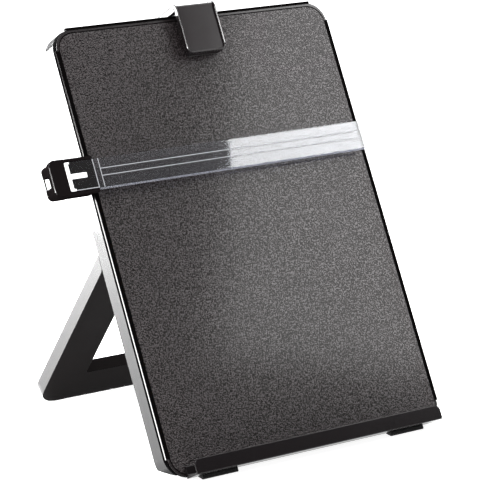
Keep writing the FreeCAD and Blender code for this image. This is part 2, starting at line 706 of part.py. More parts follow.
def make_slider_housing():
    """The front half of the slider: a finger block, the strip's seat, a jaw and two pivot ears."""
    body = new_body("slider_housing")
    box(body, "finger_block", (BLOCK_LEFT, STRIP_LEFT), (BLOCK_LOW, BLOCK_TOP),
        ("block_under", "block_front"))
    soften(body, "block_corners", "block_corner", "z", x=(BLOCK_LEFT,), y=(BLOCK_LOW, BLOCK_TOP))
    seat = "(strip_back - block_wall)"
    box(body, "seat", (f"{STRIP_LEFT} - block_wall", BLOCK_RIGHT), (BLOCK_LOW, BLOCK_TOP),
        (f"{seat} - block_wall / 2", "strip_back + strip_thick"))
    box(body, "strip_channel", (STRIP_LEFT, f"{BLOCK_RIGHT} + 1"),
        (f"{STRIP_LOW} - strip_play", f"{STRIP_TOP} + strip_play"), ("strip_back", "block_front"), cut=True)
    box(body, "jaw_foot", (f"{BLOCK_RIGHT} - jaw_long", BLOCK_RIGHT),
        (f"{BLOCK_LOW} + ear_inset", f"{BLOCK_TOP} - ear_inset"), ("saddle_gap + pad_thick", seat))
    box(body, "block_hollow", (f"{BLOCK_LEFT} + block_wall", f"{STRIP_LEFT} - 2 * block_wall"),
        (f"{BLOCK_LOW} + block_wall", f"{BLOCK_TOP} - block_wall"),
        ("block_under", "block_front - block_wall"), cut=True)
    for number, (low, high) in enumerate(EAR_SPANS):
        corners = [(f"{PIVOT} - ear_radius", seat), (f"{PIVOT} - ear_radius", "-pivot_behind"),
                   (f"{PIVOT} + ear_radius", "-pivot_behind"), (f"{PIVOT} + ear_radius", seat)]
        prism(body, f"ear_{number}", "XZ_Plane", corners, low, high)
        rod(body, f"ear_eye_{number}", "XZ_Plane", (PIVOT, "-pivot_behind"), "ear_radius", low, high)
        rod(body, f"ear_bore_{number}", "XZ_Plane", (PIVOT, "-pivot_behind"),
            "pivot_radius + pin_play / 2", low, high, cut=True)
    finished(body)


def make_slider_lever():
    """The rear half: a finger tray, pivot ears and the jaw that hooks into the groove."""
    body = new_body("slider_lever")
    left = f"(-{BOARD_HALF} - lever_out)"
    low = "(guide_up - lever_high / 2)"
    high = "(guide_up + lever_high / 2)"
    wall = "(lever_thick - lever_back)"
    bend = f"(-{BOARD_HALF} - lever_thick)"
    tip_front = "(-panel_thick - jaw_tip_gap)"
    tip_back = f"({tip_front} - jaw_tip)"
    outside = f"(-{BOARD_HALF} - jaw_tip_gap)"
    corners = [(left, "-lever_back"), (outside, "-lever_back"), (outside, tip_back),
               (f"-{BOARD_HALF} + frame_inset + jaw_tip_in", tip_back),
               (f"-{BOARD_HALF} + frame_inset + jaw_tip_in", tip_front), (bend, tip_front),
               (f"{bend} - lever_thick", wall), (left, wall)]
    prism(body, "web", "XZ_Plane", corners, low, high)
    tray = f"({left} + lever_tray)"
    cheek = [(left, "-lever_back"), (left, "lever_rise"), (tray, "lever_rise"),
             (f"{tray} + lever_wall", "-lever_back")]
    prism(body, "cheek_low", "XZ_Plane", cheek, low, f"{low} + lever_wall")
    prism(body, "cheek_high", "XZ_Plane", cheek, f"{high} - lever_wall", high)
    box(body, "finger_wall", (left, f"{left} + lever_wall"), (low, high), ("-lever_back", "lever_rise"))
    soften(body, "tray_corners", "block_corner - 1", "z", x=(left,), y=(low, high))
    box(body, "notch", (f"{left} - 1", f"{left} + lever_wall + 0.5"),
        ("guide_up - lever_notch / 2", "guide_up + lever_notch / 2"), (wall, "lever_rise + 1"), cut=True)
    inner = ((f"{EAR_SPANS[0][1]} + ear_gap", f"{EAR_SPANS[0][1]} + ear_gap + ear_thick"),
             (f"{EAR_SPANS[1][0]} - ear_gap - ear_thick", f"{EAR_SPANS[1][0]} - ear_gap"))
    for number, (start, end) in enumerate(inner):
        block = [(f"{PIVOT} - ear_radius", f"{wall} - lever_thick / 2"),
                 (f"{PIVOT} + ear_radius", f"{wall} - lever_thick / 2"),
                 (f"{PIVOT} + ear_radius", "-pivot_behind"), (f"{PIVOT} - ear_radius", "-pivot_behind")]
        prism(body, f"ear_{number}", "XZ_Plane", block, start, end)
        rod(body, f"ear_eye_{number}", "XZ_Plane", (PIVOT, "-pivot_behind"), "ear_radius", start, end)
        rod(body, f"ear_bore_{number}", "XZ_Plane", (PIVOT, "-pivot_behind"),
            "pivot_radius + pin_play", start, end, cut=True)
    finished(body)


def make_slider_pin():
    body = new_body("slider_pin")
    rod(body, "pivot_rod", "XZ_Plane", (PIVOT, "-pivot_behind"), "pivot_radius", EAR_SPANS[0][0],
        EAR_SPANS[1][1])
    finished(body)


def make_slider_pad():
    """The rubber pad under the front jaw, just clear of the rail."""
    body = new_body("slider_grip_pad")
    box(body, "pad", (f"{BLOCK_RIGHT} - jaw_long", BLOCK_RIGHT),
        (f"{BLOCK_LOW} + ear_inset", f"{BLOCK_TOP} - ear_inset"), ("saddle_gap", "saddle_gap + pad_thick"))
    finished(body)


def make_guide_strip():
    """The clear strip that lies across the page, with a stiffening lip along its lower edge."""
    body = new_body("guide_strip")
    right = f"({BOARD_HALF} - strip_short)"
    box(body, "strip_plate", (STRIP_LEFT, right), (STRIP_LOW, STRIP_TOP),
        ("strip_back", "strip_back + strip_thick"))
    lip_low = f"({STRIP_LOW} - strip_lip_drop)"
    front = "strip_back + strip_thick"
    lip = [(STRIP_LOW, front), (lip_low, "strip_back - strip_lip"),
           (f"{lip_low} + strip_lip_thick", "strip_back - strip_lip"),
           (f"{STRIP_LOW} + strip_lip_thick", front)]
    prism(body, "strip_lip", "YZ_Plane", lip, f"{BLOCK_RIGHT} + strip_play", right)
    slot_low = "(guide_up - key_stem_high / 2)"
    slot_high = "(guide_up + key_stem_high / 2)"
    box(body, "bar_slot", (STRIP_LEFT, f"{STRIP_LEFT} + key_bar"), (STRIP_LOW, STRIP_TOP),
        ("strip_back + strip_thick / 2", "strip_back + strip_thick"), cut=True)
    box(body, "stem_slot", (STRIP_LEFT, f"{STRIP_LEFT} + key_stem"), (slot_low, slot_high),
        ("strip_back", "strip_back + strip_thick"), cut=True)
    finished(body)


def make_strip_key():
    """The white T-shaped key that locks the strip into the slider."""
    body = new_body("strip_key")
    slot_low = "(guide_up - key_stem_high / 2)"
    slot_high = "(guide_up + key_stem_high / 2)"
    face = "strip_back + strip_thick + key_proud"
    box(body, "key_head", (STRIP_LEFT, f"{STRIP_LEFT} + key_bar"), (STRIP_LOW, STRIP_TOP),
        ("strip_back + strip_thick / 2", face))
    box(body, "key_shank", (STRIP_LEFT, f"{STRIP_LEFT} + key_stem"), (slot_low, slot_high),
        ("strip_back", face))
    finished(body)


# ---------------------------------------------------------------- screws and springs

def make_screws(label, places, head, shank, cross):
    """A set of equal screws along Z: head and shank are (radius, low, high) expressions."""
    solids = []
    for number, centre in enumerate(places):
        parts = []
        for kind, (radius, low, high) in (("head", head), ("shank", shank)):
            cylinder = doc.addObject("Part::Cylinder", f"{label}_{kind}_{number}")
            cylinder.setExpression("Radius", linked(radius))
            cylinder.setExpression("Height", linked(f"({high}) - ({low})"))
            cylinder.setExpression("Placement.Base.x", linked(centre[0]))
            cylinder.setExpression("Placement.Base.y", linked(centre[1]))
            cylinder.setExpression("Placement.Base.z", linked(low))
            parts.append(cylinder)
        screw = doc.addObject("Part::Fuse", f"{label}_{number}")
        screw.Base, screw.Tool = parts
        drive = doc.addObject("Part::Box", f"{label}_drive_{number}")
        drive.setExpression("Length", linked("screw_head_radius * 1.1"))
        drive.setExpression("Width", linked("screw_head_radius / 5"))
        drive.setExpression("Height", linked("screw_head_high / 2"))
        drive.setExpression("Placement.Base.x", linked(f"{centre[0]} - screw_head_radius * 0.55"))
        drive.setExpression("Placement.Base.y", linked(f"{centre[1]} - screw_head_radius / 10"))
        drive.setExpression("Placement.Base.z", linked(cross))
        slotted = doc.addObject("Part::Cut", f"{label}_slotted_{number}")
        slotted.Base = screw
        slotted.Tool = drive
        solids.append(slotted)
    group = doc.addObject("Part::Compound", label)
    group.Links = solids
    group.Label = label
    finished(group)


def make_all_screws():
    rear = "-panel_thick - flange_thick"
    make_screws("frame_screws", frame_screw_places(),
                ("screw_head_radius", f"{rear} - screw_head_high", rear),
                ("stud_hole", rear, "-stud_skin - screw_play"), f"{rear} - screw_head_high")
    places = [centre for sign in (-1, 1) for centre in bracket_screw_places(sign)]
    back = "-frame_depth"
    make_screws("bracket_screws", places,
                ("screw_head_radius - 0.3", f"{back} - screw_head_high / 2", back),
                ("bracket_screw_radius", back, f"{back} + bracket_screw_length"),
                f"{back} - screw_head_high / 2 - screw_head_high / 4")
    places = [(side(sign, "ledge_screw_x"), "ledge_screw_up") for sign in (-1, 0, 1)]
    make_screws("ledge_screws", places,
                ("ledge_head_radius", "ledge_thick", "ledge_thick + ledge_head_high"),
                ("ledge_screw_radius", "ledge_thick - ledge_screw_length", "ledge_thick"),
                "ledge_thick + ledge_head_high - screw_head_high / 4")


def make_coil(label, axis, start, length, centre, inner):
    """A closed-ended wire coil, wound round a pin along X or Y."""
    wire = SIZES["spring_wire"]
    radius = inner + SIZES["spring_play"] + wire
    turns = SIZES["spring_turns"]
    helix = Part.makeHelix(length / turns, length, radius)
    ring = Part.Wire([Part.makeCircle(wire, FreeCAD.Vector(radius, 0, 0), FreeCAD.Vector(0, 1, 0))])
    coil = Part.Wire(helix.Edges).makePipeShell([ring], True, True)
    turned = FreeCAD.Rotation(FreeCAD.Vector(0, 0, 1), axis)
    coil.Placement = FreeCAD.Placement(centre + axis * start, turned)
    feature = doc.addObject("Part::Feature", label)
    feature.Shape = coil
    feature.Label = label
    finished(feature)


def make_springs():
    wire = SIZES["spring_wire"]
    length = SIZES["saddle_width"] - 2 * SIZES["saddle_ear_thick"] - 4 * wire
    make_coil("clip_spring", FreeCAD.Vector(1, 0, 0), -length / 2, length,
              FreeCAD.Vector(0, size(CLIP_PIN[0]), size(CLIP_PIN[1])), SIZES["clip_pin_radius"])
    low = size(f"{EAR_SPANS[0][1]} + ear_gap + ear_thick") + 2 * wire
    high = size(f"{EAR_SPANS[1][0]} - ear_gap - ear_thick") - 2 * wire
    make_coil("slider_spring", FreeCAD.Vector(0, 1, 0), low, high - low,
              FreeCAD.Vector(size(PIVOT), 0, -SIZES["pivot_behind"]), SIZES["pivot_radius"])


# ---------------------------------------------------------------- assembly

make_front_panel()
make_back_frame()
make_ledge()
for hand, word in ((-1, "left"), (1, "right")):
    make_foot(hand, word)
    make_bracket(hand, word)
    make_hinge_pin(hand, word)
make_clip_jaw()
make_clip_pad()
make_clip_saddle()
make_clip_pin()
make_slider_housing()
make_slider_lever()
make_slider_pin()
make_slider_pad()
make_guide_strip()
make_strip_key()
make_all_screws()
make_springs()
LEG_BODIES = [make_leg(), *make_toe_pads()]
doc.removeObject("probe")
doc.recompute()

x_axis = FreeCAD.Vector(1, 0, 0)
lean_back = FreeCAD.Placement(FreeCAD.Vector(0, 0, 0), FreeCAD.Rotation(x_axis, 90 - math.degrees(LEAN)))
leg_swing = FreeCAD.Placement(FreeCAD.Vector(0, SIZES["hinge_up"], -HINGE_BEHIND),
                              FreeCAD.Rotation(x_axis, SIZES["leg_angle"]))
placed = [(node, FreeCAD.Placement()) for node in BODIES] + [(node, leg_swing) for node in LEG_BODIES]


def stand(node, own, shift):
    """Leans a piece back with the board and shifts it, keeping its place within the board."""
    base = FreeCAD.Placement(node.Placement) if node.TypeId == "Part::Feature" else FreeCAD.Placement()
    return FreeCAD.Placement(shift, FreeCAD.Rotation()).multiply(lean_back).multiply(own).multiply(base)


bounds = FreeCAD.BoundBox()
for node, own in placed:
    shape = node.Shape.copy()
    shape.Placement = stand(node, own, FreeCAD.Vector(0, 0, 0))
    bounds.add(shape.optimalBoundingBox(False, False))
floor_centre = FreeCAD.Vector(bounds.Center.x, bounds.Center.y, bounds.ZMin)
for node, own in placed:
    node.Placement = stand(node, own, -floor_centre)
doc.recompute()

for item in doc.Objects:
    if "Invalid" in item.State or "Error" in item.State:
        raise RuntimeError(f"{item.Name} failed: {item.State}")
os.makedirs("parts", exist_ok=True)
for node, _ in placed:
    if node.Shape.isNull() or not node.Shape.isValid() or not node.Shape.Solids:
        raise RuntimeError(f"{node.Label} has no valid solid")
for node, _ in placed:
    node.Shape.exportStep(os.path.join("parts", f"{node.Label}.step"))
print(f"{len(placed)} nodes, lean {math.degrees(LEAN):.2f} degrees, origin shift {floor_centre}")
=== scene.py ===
"""A copy holder with a line guide: its looks, light and camera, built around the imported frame."""

import logging
import math
from dataclasses import dataclass, field
from enum import Enum
from typing import Sequence

import bmesh
import bpy
from mathutils import Matrix, Vector


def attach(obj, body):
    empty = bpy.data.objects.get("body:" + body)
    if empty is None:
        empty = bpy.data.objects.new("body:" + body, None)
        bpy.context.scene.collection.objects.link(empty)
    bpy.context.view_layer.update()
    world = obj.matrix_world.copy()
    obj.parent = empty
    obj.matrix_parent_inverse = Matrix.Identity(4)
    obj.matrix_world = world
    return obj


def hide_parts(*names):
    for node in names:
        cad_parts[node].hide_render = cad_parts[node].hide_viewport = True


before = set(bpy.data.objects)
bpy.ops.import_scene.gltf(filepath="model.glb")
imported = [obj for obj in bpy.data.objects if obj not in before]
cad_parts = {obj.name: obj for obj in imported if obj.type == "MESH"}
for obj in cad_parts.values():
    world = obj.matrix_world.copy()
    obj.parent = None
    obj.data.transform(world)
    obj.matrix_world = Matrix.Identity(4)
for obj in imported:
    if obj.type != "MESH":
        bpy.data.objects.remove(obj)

log = logging.getLogger("copy_holder")

Point = tuple[float, float]
Triple = tuple[float, float, float]
Colour = Triple
Line = list[tuple[Vector, Vector]]
Inputs = dict | None

MM = 0.001  # a millimetre, in metres
TOUCH = 1e-7  # levels this close count as one, in metres
BEVELLED = 0.5  # edges that turn further than this are rounded, in radians
SMOOTHED = 0.4  # edges that turn less than this are shaded smooth, in radians
SIDES = (-1.0, 1.0)  # left and right

LEAN = math.radians(29.44617661)  # how far the board leans back
FOOT = (0.0165, -0.09204833, 0.00203934)  # where the middle of the board's lower edge stands
BOARD = Matrix.Translation(FOOT) @ Matrix.Rotation(math.pi / 2 - LEAN, 4, "X")
LEFT_EDGE = tuple(BOARD.to_3x3() @ Vector((-1.0, 0.0, 1.0)).normalized())  # where left chamfers face


# ---- outlines and solids


def rounded(corners: Sequence[Point], radii: float | Sequence[float], steps: int = 6) -> list[Point]:
    """Rounds the corners of a polygon.

    Args:
        corners: the polygon, in order.
        radii: one radius for all the corners, or one for each.
        steps: how many chords stand for each arc.

    Returns:
        The rounded outline.
    """
    sizes = [radii] * len(corners) if isinstance(radii, (int, float)) else list(radii)
    outline: list[Point] = []
    for i, size in enumerate(sizes):
        here = Vector(corners[i])
        if size <= 0:
            outline.append(tuple(here))
            continue
        back = (Vector(corners[i - 1]) - here).normalized()
        ahead = (Vector(corners[(i + 1) % len(corners)]) - here).normalized()
        half = math.acos(max(-1.0, min(1.0, back.dot(ahead)))) / 2
        centre = here + (back + ahead).normalized() * (size / math.sin(half))
        first = here + back * (size / math.tan(half)) - centre
        last = here + ahead * (size / math.tan(half)) - centre
        start = math.atan2(first.y, first.x)
        turn = (math.atan2(last.y, last.x) - start + math.pi) % (2 * math.pi) - math.pi
        for step in range(steps + 1):
            angle = start + turn * step / steps
            outline.append((centre.x + size * math.cos(angle), centre.y + size * math.sin(angle)))
    return outline


def block(across: Point, up: Point, radius: float | Sequence[float] = 0.0, steps: int = 6) -> list[Point]:
    """A rectangle between two spans, with rounded corners.

    Args:
        across: its span along the outline's first axis.
        up: its span along the second.
        radius: the corner radius, or four of them, from the low corner round.
        steps: how many chords stand for each arc.

    Returns:
        The outline.
    """
    corners = [(across[0], up[0]), (across[1], up[0]), (across[1], up[1]), (across[0], up[1])]
    return rounded(corners, radius, steps)


def disc(centre: Point, radius: float) -> list[Point]:
    """A circle of 32 chords.

    Args:
        centre: its middle.
        radius: its radius.

    Returns:
        The outline.
    """
    turns = [2 * math.pi * i / 32 for i in range(32)]
    return [(centre[0] + radius * math.cos(a), centre[1] + radius * math.sin(a)) for a in turns]


def around(middle: float, reach: float) -> Point:
    """A span that reaches equally far to both sides of its middle.

    Args:
        middle: the middle.
        reach: half the span's length.

    Returns:
        The span.
    """
    return middle - reach, middle + reach


def bridge(part: bmesh.types.BMesh, first: Sequence, second: Sequence) -> None:
    """Joins two loops of corners by a band of faces.

    Args:
        part: the mesh that they are in.
        first: one loop.
        second: the other, with as many corners.
    """
    for i in range(len(first)):
        j = (i + 1) % len(first)
        part.faces.new((first[i], first[j], second[j], second[i]))


class Axis(Enum):
    """The way a solid is drawn out: where an outline's two numbers go, and its length."""

    X = (1, 2, 0)
    Y = (0, 2, 1)
    Z = (0, 1, 2)

    def place(self, first: float, second: float, along: float) -> Vector:
        """Turns an outline point at a level into a point in space.

        Args:
            first: the outline's first number.
            second: its second.
            along: the level.

        Returns:
            The point, in metres.
        """
        spot = [0.0, 0.0, 0.0]
        for index, number in zip(self.value, (first, second, along)):
            spot[index] = number * MM
        return Vector(spot)


class Ends(Enum):
    """Which ends of a prism have their rims rounded."""

    LOW = (0,)
    HIGH = (1,)
    BOTH = (0, 1)


@dataclass
class Solid:
    """One mesh, gathered from parts drawn in millimetres: x right, y up the board, z out of its face.

    Attributes:
        name: the piece's name.
        mesh: what is gathered so far.
    """

    name: str
    mesh: bmesh.types.BMesh = field(default_factory=bmesh.new)

    def prism(
        self,
        axis: Axis,
        outline: Sequence[Point],
        span: Sequence[float],
        edge: float = 0.25,
        ends: Ends = Ends.BOTH,
        segments: int = 3,
        hole: Sequence[Point] = (),
        taper: float = 0.0,
    ) -> None:
        """Adds an outline drawn out between two levels, with rounded edges.

        Args:
            axis: the way it is drawn out.
            outline: its section.
            span: the two levels.
            edge: how far its edges are rounded.
            ends: the ends whose rims are rounded too.
            segments: how many chords stand for the rounding.
            hole: an inner outline with as many points, for a ring.
            taper: how far the high end is shifted along the outline's first axis.
        """
        part = bmesh.new()
        loops = []
        for path in (outline, hole) if hole else (outline,):
            loops.append([[part.verts.new(axis.place(a + shift, b, level)) for a, b in path]
                          for level, shift in zip(span, (0.0, taper))])
        for low, high in loops:
            bridge(part, low, high)
        for end in (0, 1):
            if hole:
                bridge(part, loops[0][end], loops[1][end])
            else:
                part.faces.new(loops[0][end])
        bmesh.ops.recalc_face_normals(part, faces=part.faces)
        levels = [span[i] * MM for i in ends.value]
        sharp = []
        for line in part.edges:
            low, high = (corner.co[axis.value[2]] for corner in line.verts)
            wanted = abs(low - high) > TOUCH or any(abs(low - level) < TOUCH for level in levels)
            if wanted and line.calc_face_angle(0.0) > BEVELLED:
                sharp.append(line)
        if edge and sharp:
            bmesh.ops.bevel(
                part, geom=sharp, offset=edge * MM, offset_type="OFFSET", segments=segments,
                profile=0.5, affect="EDGES", clamp_overlap=True,
            )
        self.take(part)

    def sweep(self, path: Line, section: Sequence[Point]) -> None:
        """Adds a section drawn along a path.

        Args:
            path: the places that it passes, in millimetres, each with the way that is up there.
            section: its outline, across and up from the path.
        """
        part = bmesh.new()
        rings = []
        for i, (spot, above) in enumerate(path):
            heading = (path[min(i + 1, len(path) - 1)][0] - path[max(i - 1, 0)][0]).normalized()
            across = heading.cross(above).normalized()
            rings.append([part.verts.new((spot + across * a + above * b) * MM) for a, b in section])
        for low, high in zip(rings, rings[1:]):
            bridge(part, low, high)
        part.faces.new(rings[0])
        part.faces.new(rings[-1])
        self.take(part)

    def take(self, part: bmesh.types.BMesh) -> None:
        """Moves one finished part into the mesh, its faces turned outwards and shaded smooth.

        Args:
            part: the part, which is freed.
        """
        bmesh.ops.recalc_face_normals(part, faces=part.faces)
        for face in part.faces:
            face.smooth = True
        for edge in part.edges:
            edge.smooth = edge.calc_face_angle(0.0) < SMOOTHED
        kept = bpy.data.meshes.new("part")
        part.to_mesh(kept)
        part.free()
        self.mesh.from_mesh(kept)
        bpy.data.meshes.remove(kept)

    def build(self, finish: "Finish", body: str, replaces: Sequence[str] = (), slot: str = "") -> None:
        """Makes the piece, dresses it and lets it ride.

        Args:
            finish: what it is made of.
            body: the CAD body that it moves with.
            replaces: the CAD nodes that it stands for.
            slot: a material slot's name; not used.
        """
        data = bpy.data.meshes.new(self.name)
        self.mesh.to_mesh(data)
        self.mesh.free()
        data.transform(BOARD)
        piece = bpy.data.objects.new(self.name, data)
        bpy.context.scene.collection.objects.link(piece)
        weights = piece.modifiers.new("even_faces", "WEIGHTED_NORMAL")
        weights.keep_sharp = True
        data.materials.append(finish.material())
        if replaces:
            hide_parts(*replaces)
        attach(piece, body)
        log.info("%s: %d faces", self.name, len(data.polygons))


# ---- shader graphs and finishes


@dataclass
class Signal:
    """A shader output that takes part in sums with numbers and other signals.

    Attributes:
        graph: the graph that it belongs to.
        socket: the output itself.
    """

    graph: "Graph"
    socket: bpy.types.NodeSocket

    def _math(self, operation: str, *values: "Signal | float") -> "Signal":
        """One step of arithmetic.

        Args:
            operation: the math node's operation.
            values: its inputs.

        Returns:
            The result.
        """
        node = self.graph.node("ShaderNodeMath", {"operation": operation}, dict(enumerate(values)))
        return Signal(self.graph, node.outputs[0])

    def __add__(self, other: "Signal | float") -> "Signal":
        return self._math("ADD", self, other)

    def __radd__(self, other: float) -> "Signal":
        return self._math("ADD", other, self)

    def __sub__(self, other: "Signal | float") -> "Signal":
        return self._math("SUBTRACT", self, other)

    def __rsub__(self, other: float) -> "Signal":
        return self._math("SUBTRACT", other, self)

    def __mul__(self, other: "Signal | float") -> "Signal":
        return self._math("MULTIPLY", self, other)

    def size(self) -> "Signal":
        """The signal without its sign.

        Returns:
            The result.
        """
        return self._math("ABSOLUTE", self)

    def clamped(self, low: float, high: float) -> "Signal":
        """Keeps the signal between two values.

        Args:
            low: the lower one.
            high: the upper one.

        Returns:
            The result.
        """
        return self._math("MINIMUM", self._math("MAXIMUM", self, low), high)


class Graph:
    """The node tree of one material or world."""

    def __init__(self, owner: bpy.types.Material | bpy.types.World) -> None:
        """Empties the owner's tree.

        Args:
            owner: the material or world.
        """
        owner.use_nodes = True
        self.tree = owner.node_tree
        self.tree.nodes.clear()

    def node(self, kind: str, settings: Inputs = None, values: Inputs = None) -> bpy.types.Node:
        """Adds a node.

        Args:
            kind: its type.
            settings: its properties, set before its inputs are reached.
            values: its inputs by name or number, each a signal or a plain value.

        Returns:
            The node.
        """
        made = self.tree.nodes.new(kind)
        for name, value in (settings or {}).items():
            setattr(made, name, value)
        for name, value in (values or {}).items():
            if isinstance(value, Signal):
                self.tree.links.new(value.socket, made.inputs[name])
            else:
                made.inputs[name].default_value = value
        return made

    def signal(self, kind: str, output: str | int, settings: Inputs = None, values: Inputs = None) -> Signal:
        """Adds a node and gives one of its outputs.

        Args:
            kind: its type.
            output: the output's name or number.
            settings: its properties.
            values: its inputs.

        Returns:
            The output.
        """
        return Signal(self, self.node(kind, settings, values).outputs[output])

    def place(self, scale: Triple = (1.0, 1.0, 1.0)) -> Signal:
        """Object coordinates in millimetres, stretched by a scale.

        Args:
            scale: how much each axis is stretched.

        Returns:
            The coordinates.
        """
        spot = self.signal("ShaderNodeTexCoord", "Object")
        size = tuple(s / MM for s in scale)
        return self.signal("ShaderNodeMapping", "Vector", None, {"Vector": spot, "Scale": size})

    def noise(self, spot: Signal, scale: float, detail: float = 3.0, rough: float = 0.5) -> Signal:
        """A noise between 0 and 1.

        Args:
            spot: where it is read.
            scale: how fine it is.
            detail: how many finer layers it has.
            rough: how strong those are.

        Returns:
            The noise.
        """
        values = {"Vector": spot, "Scale": scale, "Detail": detail, "Roughness": rough}
        return self.signal("ShaderNodeTexNoise", "Fac", None, values)

    def even(self, colour: Colour, roughness: float, specular: float) -> Signal:
        """A smooth and even plastic.

        Args:
            colour: its base colour.
            roughness: how matt it is.
            specular: how strongly it reflects straight on.

        Returns:
            The shader.
        """
        values = {"Base Color": (*colour, 1.0), "Roughness": roughness, "Specular IOR Level": specular}
        return self.signal("ShaderNodeBsdfPrincipled", "BSDF", None, values)

    def mixed(self, share: "Signal | float", first: Signal, second: Signal) -> Signal:
        """Two shaders mixed.

        Args:
            share: how much of the second is seen.
            first: the one.
            second: the other.

        Returns:
            The shader.
        """
        return self.signal("ShaderNodeMixShader", 0, None, {0: share, 1: first, 2: second})

    def output(self, shader: Signal) -> None:
        """Ends a material's graph.

        Args:
            shader: what it shows.
        """
        self.node("ShaderNodeOutputMaterial", None, {"Surface": shader})


BLOTCHES = 0.06  # how fine the blotches in a finish's roughness are, per millimetre
STRETCH = (0.06, 1.0, 1.0)  # how far drawn metal's lines are stretched along x
STEEPNESS = 4.6  # how fast leather grain's pebbles rise from its furrows
CROWNS = 0.35  # how much of leather grain is crown rather than furrow
DUST = (0.8, 0.8, 0.82)  # the colour of the fine scratches on clear plastic


class Grain(Enum):
    """The relief that a surface is moulded or finished with."""

    FINE = "a faint unevenness"
    LEATHER = "a pebbled leather grain"
    DRAWN = "lines along the metal"


@dataclass(frozen=True)
class Finish:
    """An opaque material.

    Attributes:
        name: its name.
        colour: its base colour.
        roughness: how matt it is.
        metallic: 1 for bare metal.
        coat: how strong the clear top layer on the crests of its relief is.
        specular: how strongly it reflects straight on, 0.5 for plastic.
        grain: its relief.
        pitch: the relief's size in millimetres.
        depth: the relief's height in millimetres.
        wear: how far the roughness wanders.
        mottle_and_furrow_shade: how far the colour wanders with the relief; on leather grain it is painted
            shade, darker in the furrows and lighter on the crests.
        edge: how far sharp edges are rounded in the shading, in millimetres.
    """

    name: str
    colour: Colour
    roughness: float
    metallic: float = 0.0
    coat: float = 0.0
    specular: float = 0.5
    grain: Grain = Grain.FINE
    pitch: float = 3.0
    depth: float = 0.01
    wear: float = 0.05
    mottle_and_furrow_shade: float = 0.2
    edge: float = 0.0

    def material(self) -> bpy.types.Material:
        """Makes the material, or finds it if it is made.

        Returns:
            The material.
        """
        made = bpy.data.materials.get(self.name)
        if not made:
            made = bpy.data.materials.new(self.name)
            graph = Graph(made)
            graph.output(self.shader(graph))
        return made

    def shader(self, graph: Graph) -> Signal:
        """The surface's shader.

        Args:
            graph: the material's graph.

        Returns:
            The shader.
        """
        relief = self._relief(graph)
        blotch = relief if self.grain is Grain.LEATHER else graph.noise(graph.place(), BLOTCHES, 2.0)
        bump = {"Height": relief, "Distance": self.depth * MM}
        if self.edge:
            radius = {"Radius": self.edge * MM}
            bump["Normal"] = graph.signal("ShaderNodeBevel", "Normal", {"samples": 4}, radius)
        # painted shade: the colour follows the relief, so leather grain is darker in its furrows and lighter
        # on its crests
        tint = graph.signal("ShaderNodeMix", 2, {"data_type": "RGBA"}, {
            0: relief, 6: self._tone(1.0 - self.mottle_and_furrow_shade), 7: self._tone(1.0 + self.mottle_and_furrow_shade)})
        return graph.signal("ShaderNodeBsdfPrincipled", "BSDF", None, {
            "Base Color": tint,
            "Roughness": (self.roughness + (blotch - 0.5) * (2 * self.wear)).clamped(0.02, 1.0),
            "Metallic": self.metallic,
            "Specular IOR Level": self.specular,
            "Coat Weight": relief * self.coat if self.coat else 0.0,
            "Coat Roughness": self.roughness,
            "Normal": graph.signal("ShaderNodeBump", "Normal", None, bump),
        })

    def _tone(self, share: float) -> tuple[float, ...]:
        """The base colour made darker or lighter.

        Args:
            share: how much of it is left.

        Returns:
            The colour, with its alpha.
        """
        return (*[min(1.0, c * share) for c in self.colour], 1.0)

    def _relief(self, graph: Graph) -> Signal:
        """The surface's height, which its colour follows too; on leather grain that colour is painted shade
        in the furrows.

        Args:
            graph: the material's graph.

        Returns:
            The height, between 0 and 1.
        """
        if self.grain is Grain.LEATHER:
            crests = graph.noise(graph.place(), 1.0 / self.pitch, 1.0, 0.6) - 0.5
            return (crests * STEEPNESS + CROWNS).clamped(0.0, 1.0)
        stretch = STRETCH if self.grain is Grain.DRAWN else (1.0, 1.0, 1.0)
        return graph.noise(graph.place(stretch), 1.0 / self.pitch)


@dataclass(frozen=True)
class Faced(Finish):
    """A dull plastic that the mould leaves polished on two opposite sides.

    Attributes:
        side: the way that one of them faces.
        gloss: their roughness.
        sheen: how strongly they reflect straight on.
        start: the cosine of the turn from there at which the polish begins.
        ramp: how fast it takes over within that turn.
    """

    side: Triple = LEFT_EDGE
    gloss: float = 0.12
    sheen: float = 1.0
    start: float = 0.9
    ramp: float = 20.0

    def shader(self, graph: Graph) -> Signal:
        """The plastic's two surfaces, mixed by the way that each spot faces.

        Args:
            graph: the material's graph.

        Returns:
            The shader.
        """
        facing = graph.signal("ShaderNodeTexCoord", "Normal")
        values = {0: facing, 1: self.side}
        cosine = graph.signal("ShaderNodeVectorMath", "Value", {"operation": "DOT_PRODUCT"}, values)
        share = ((cosine.size() - self.start) * self.ramp).clamped(0.0, 1.0)
        return graph.mixed(share, super().shader(graph), graph.even(self.colour, self.gloss, self.sheen))


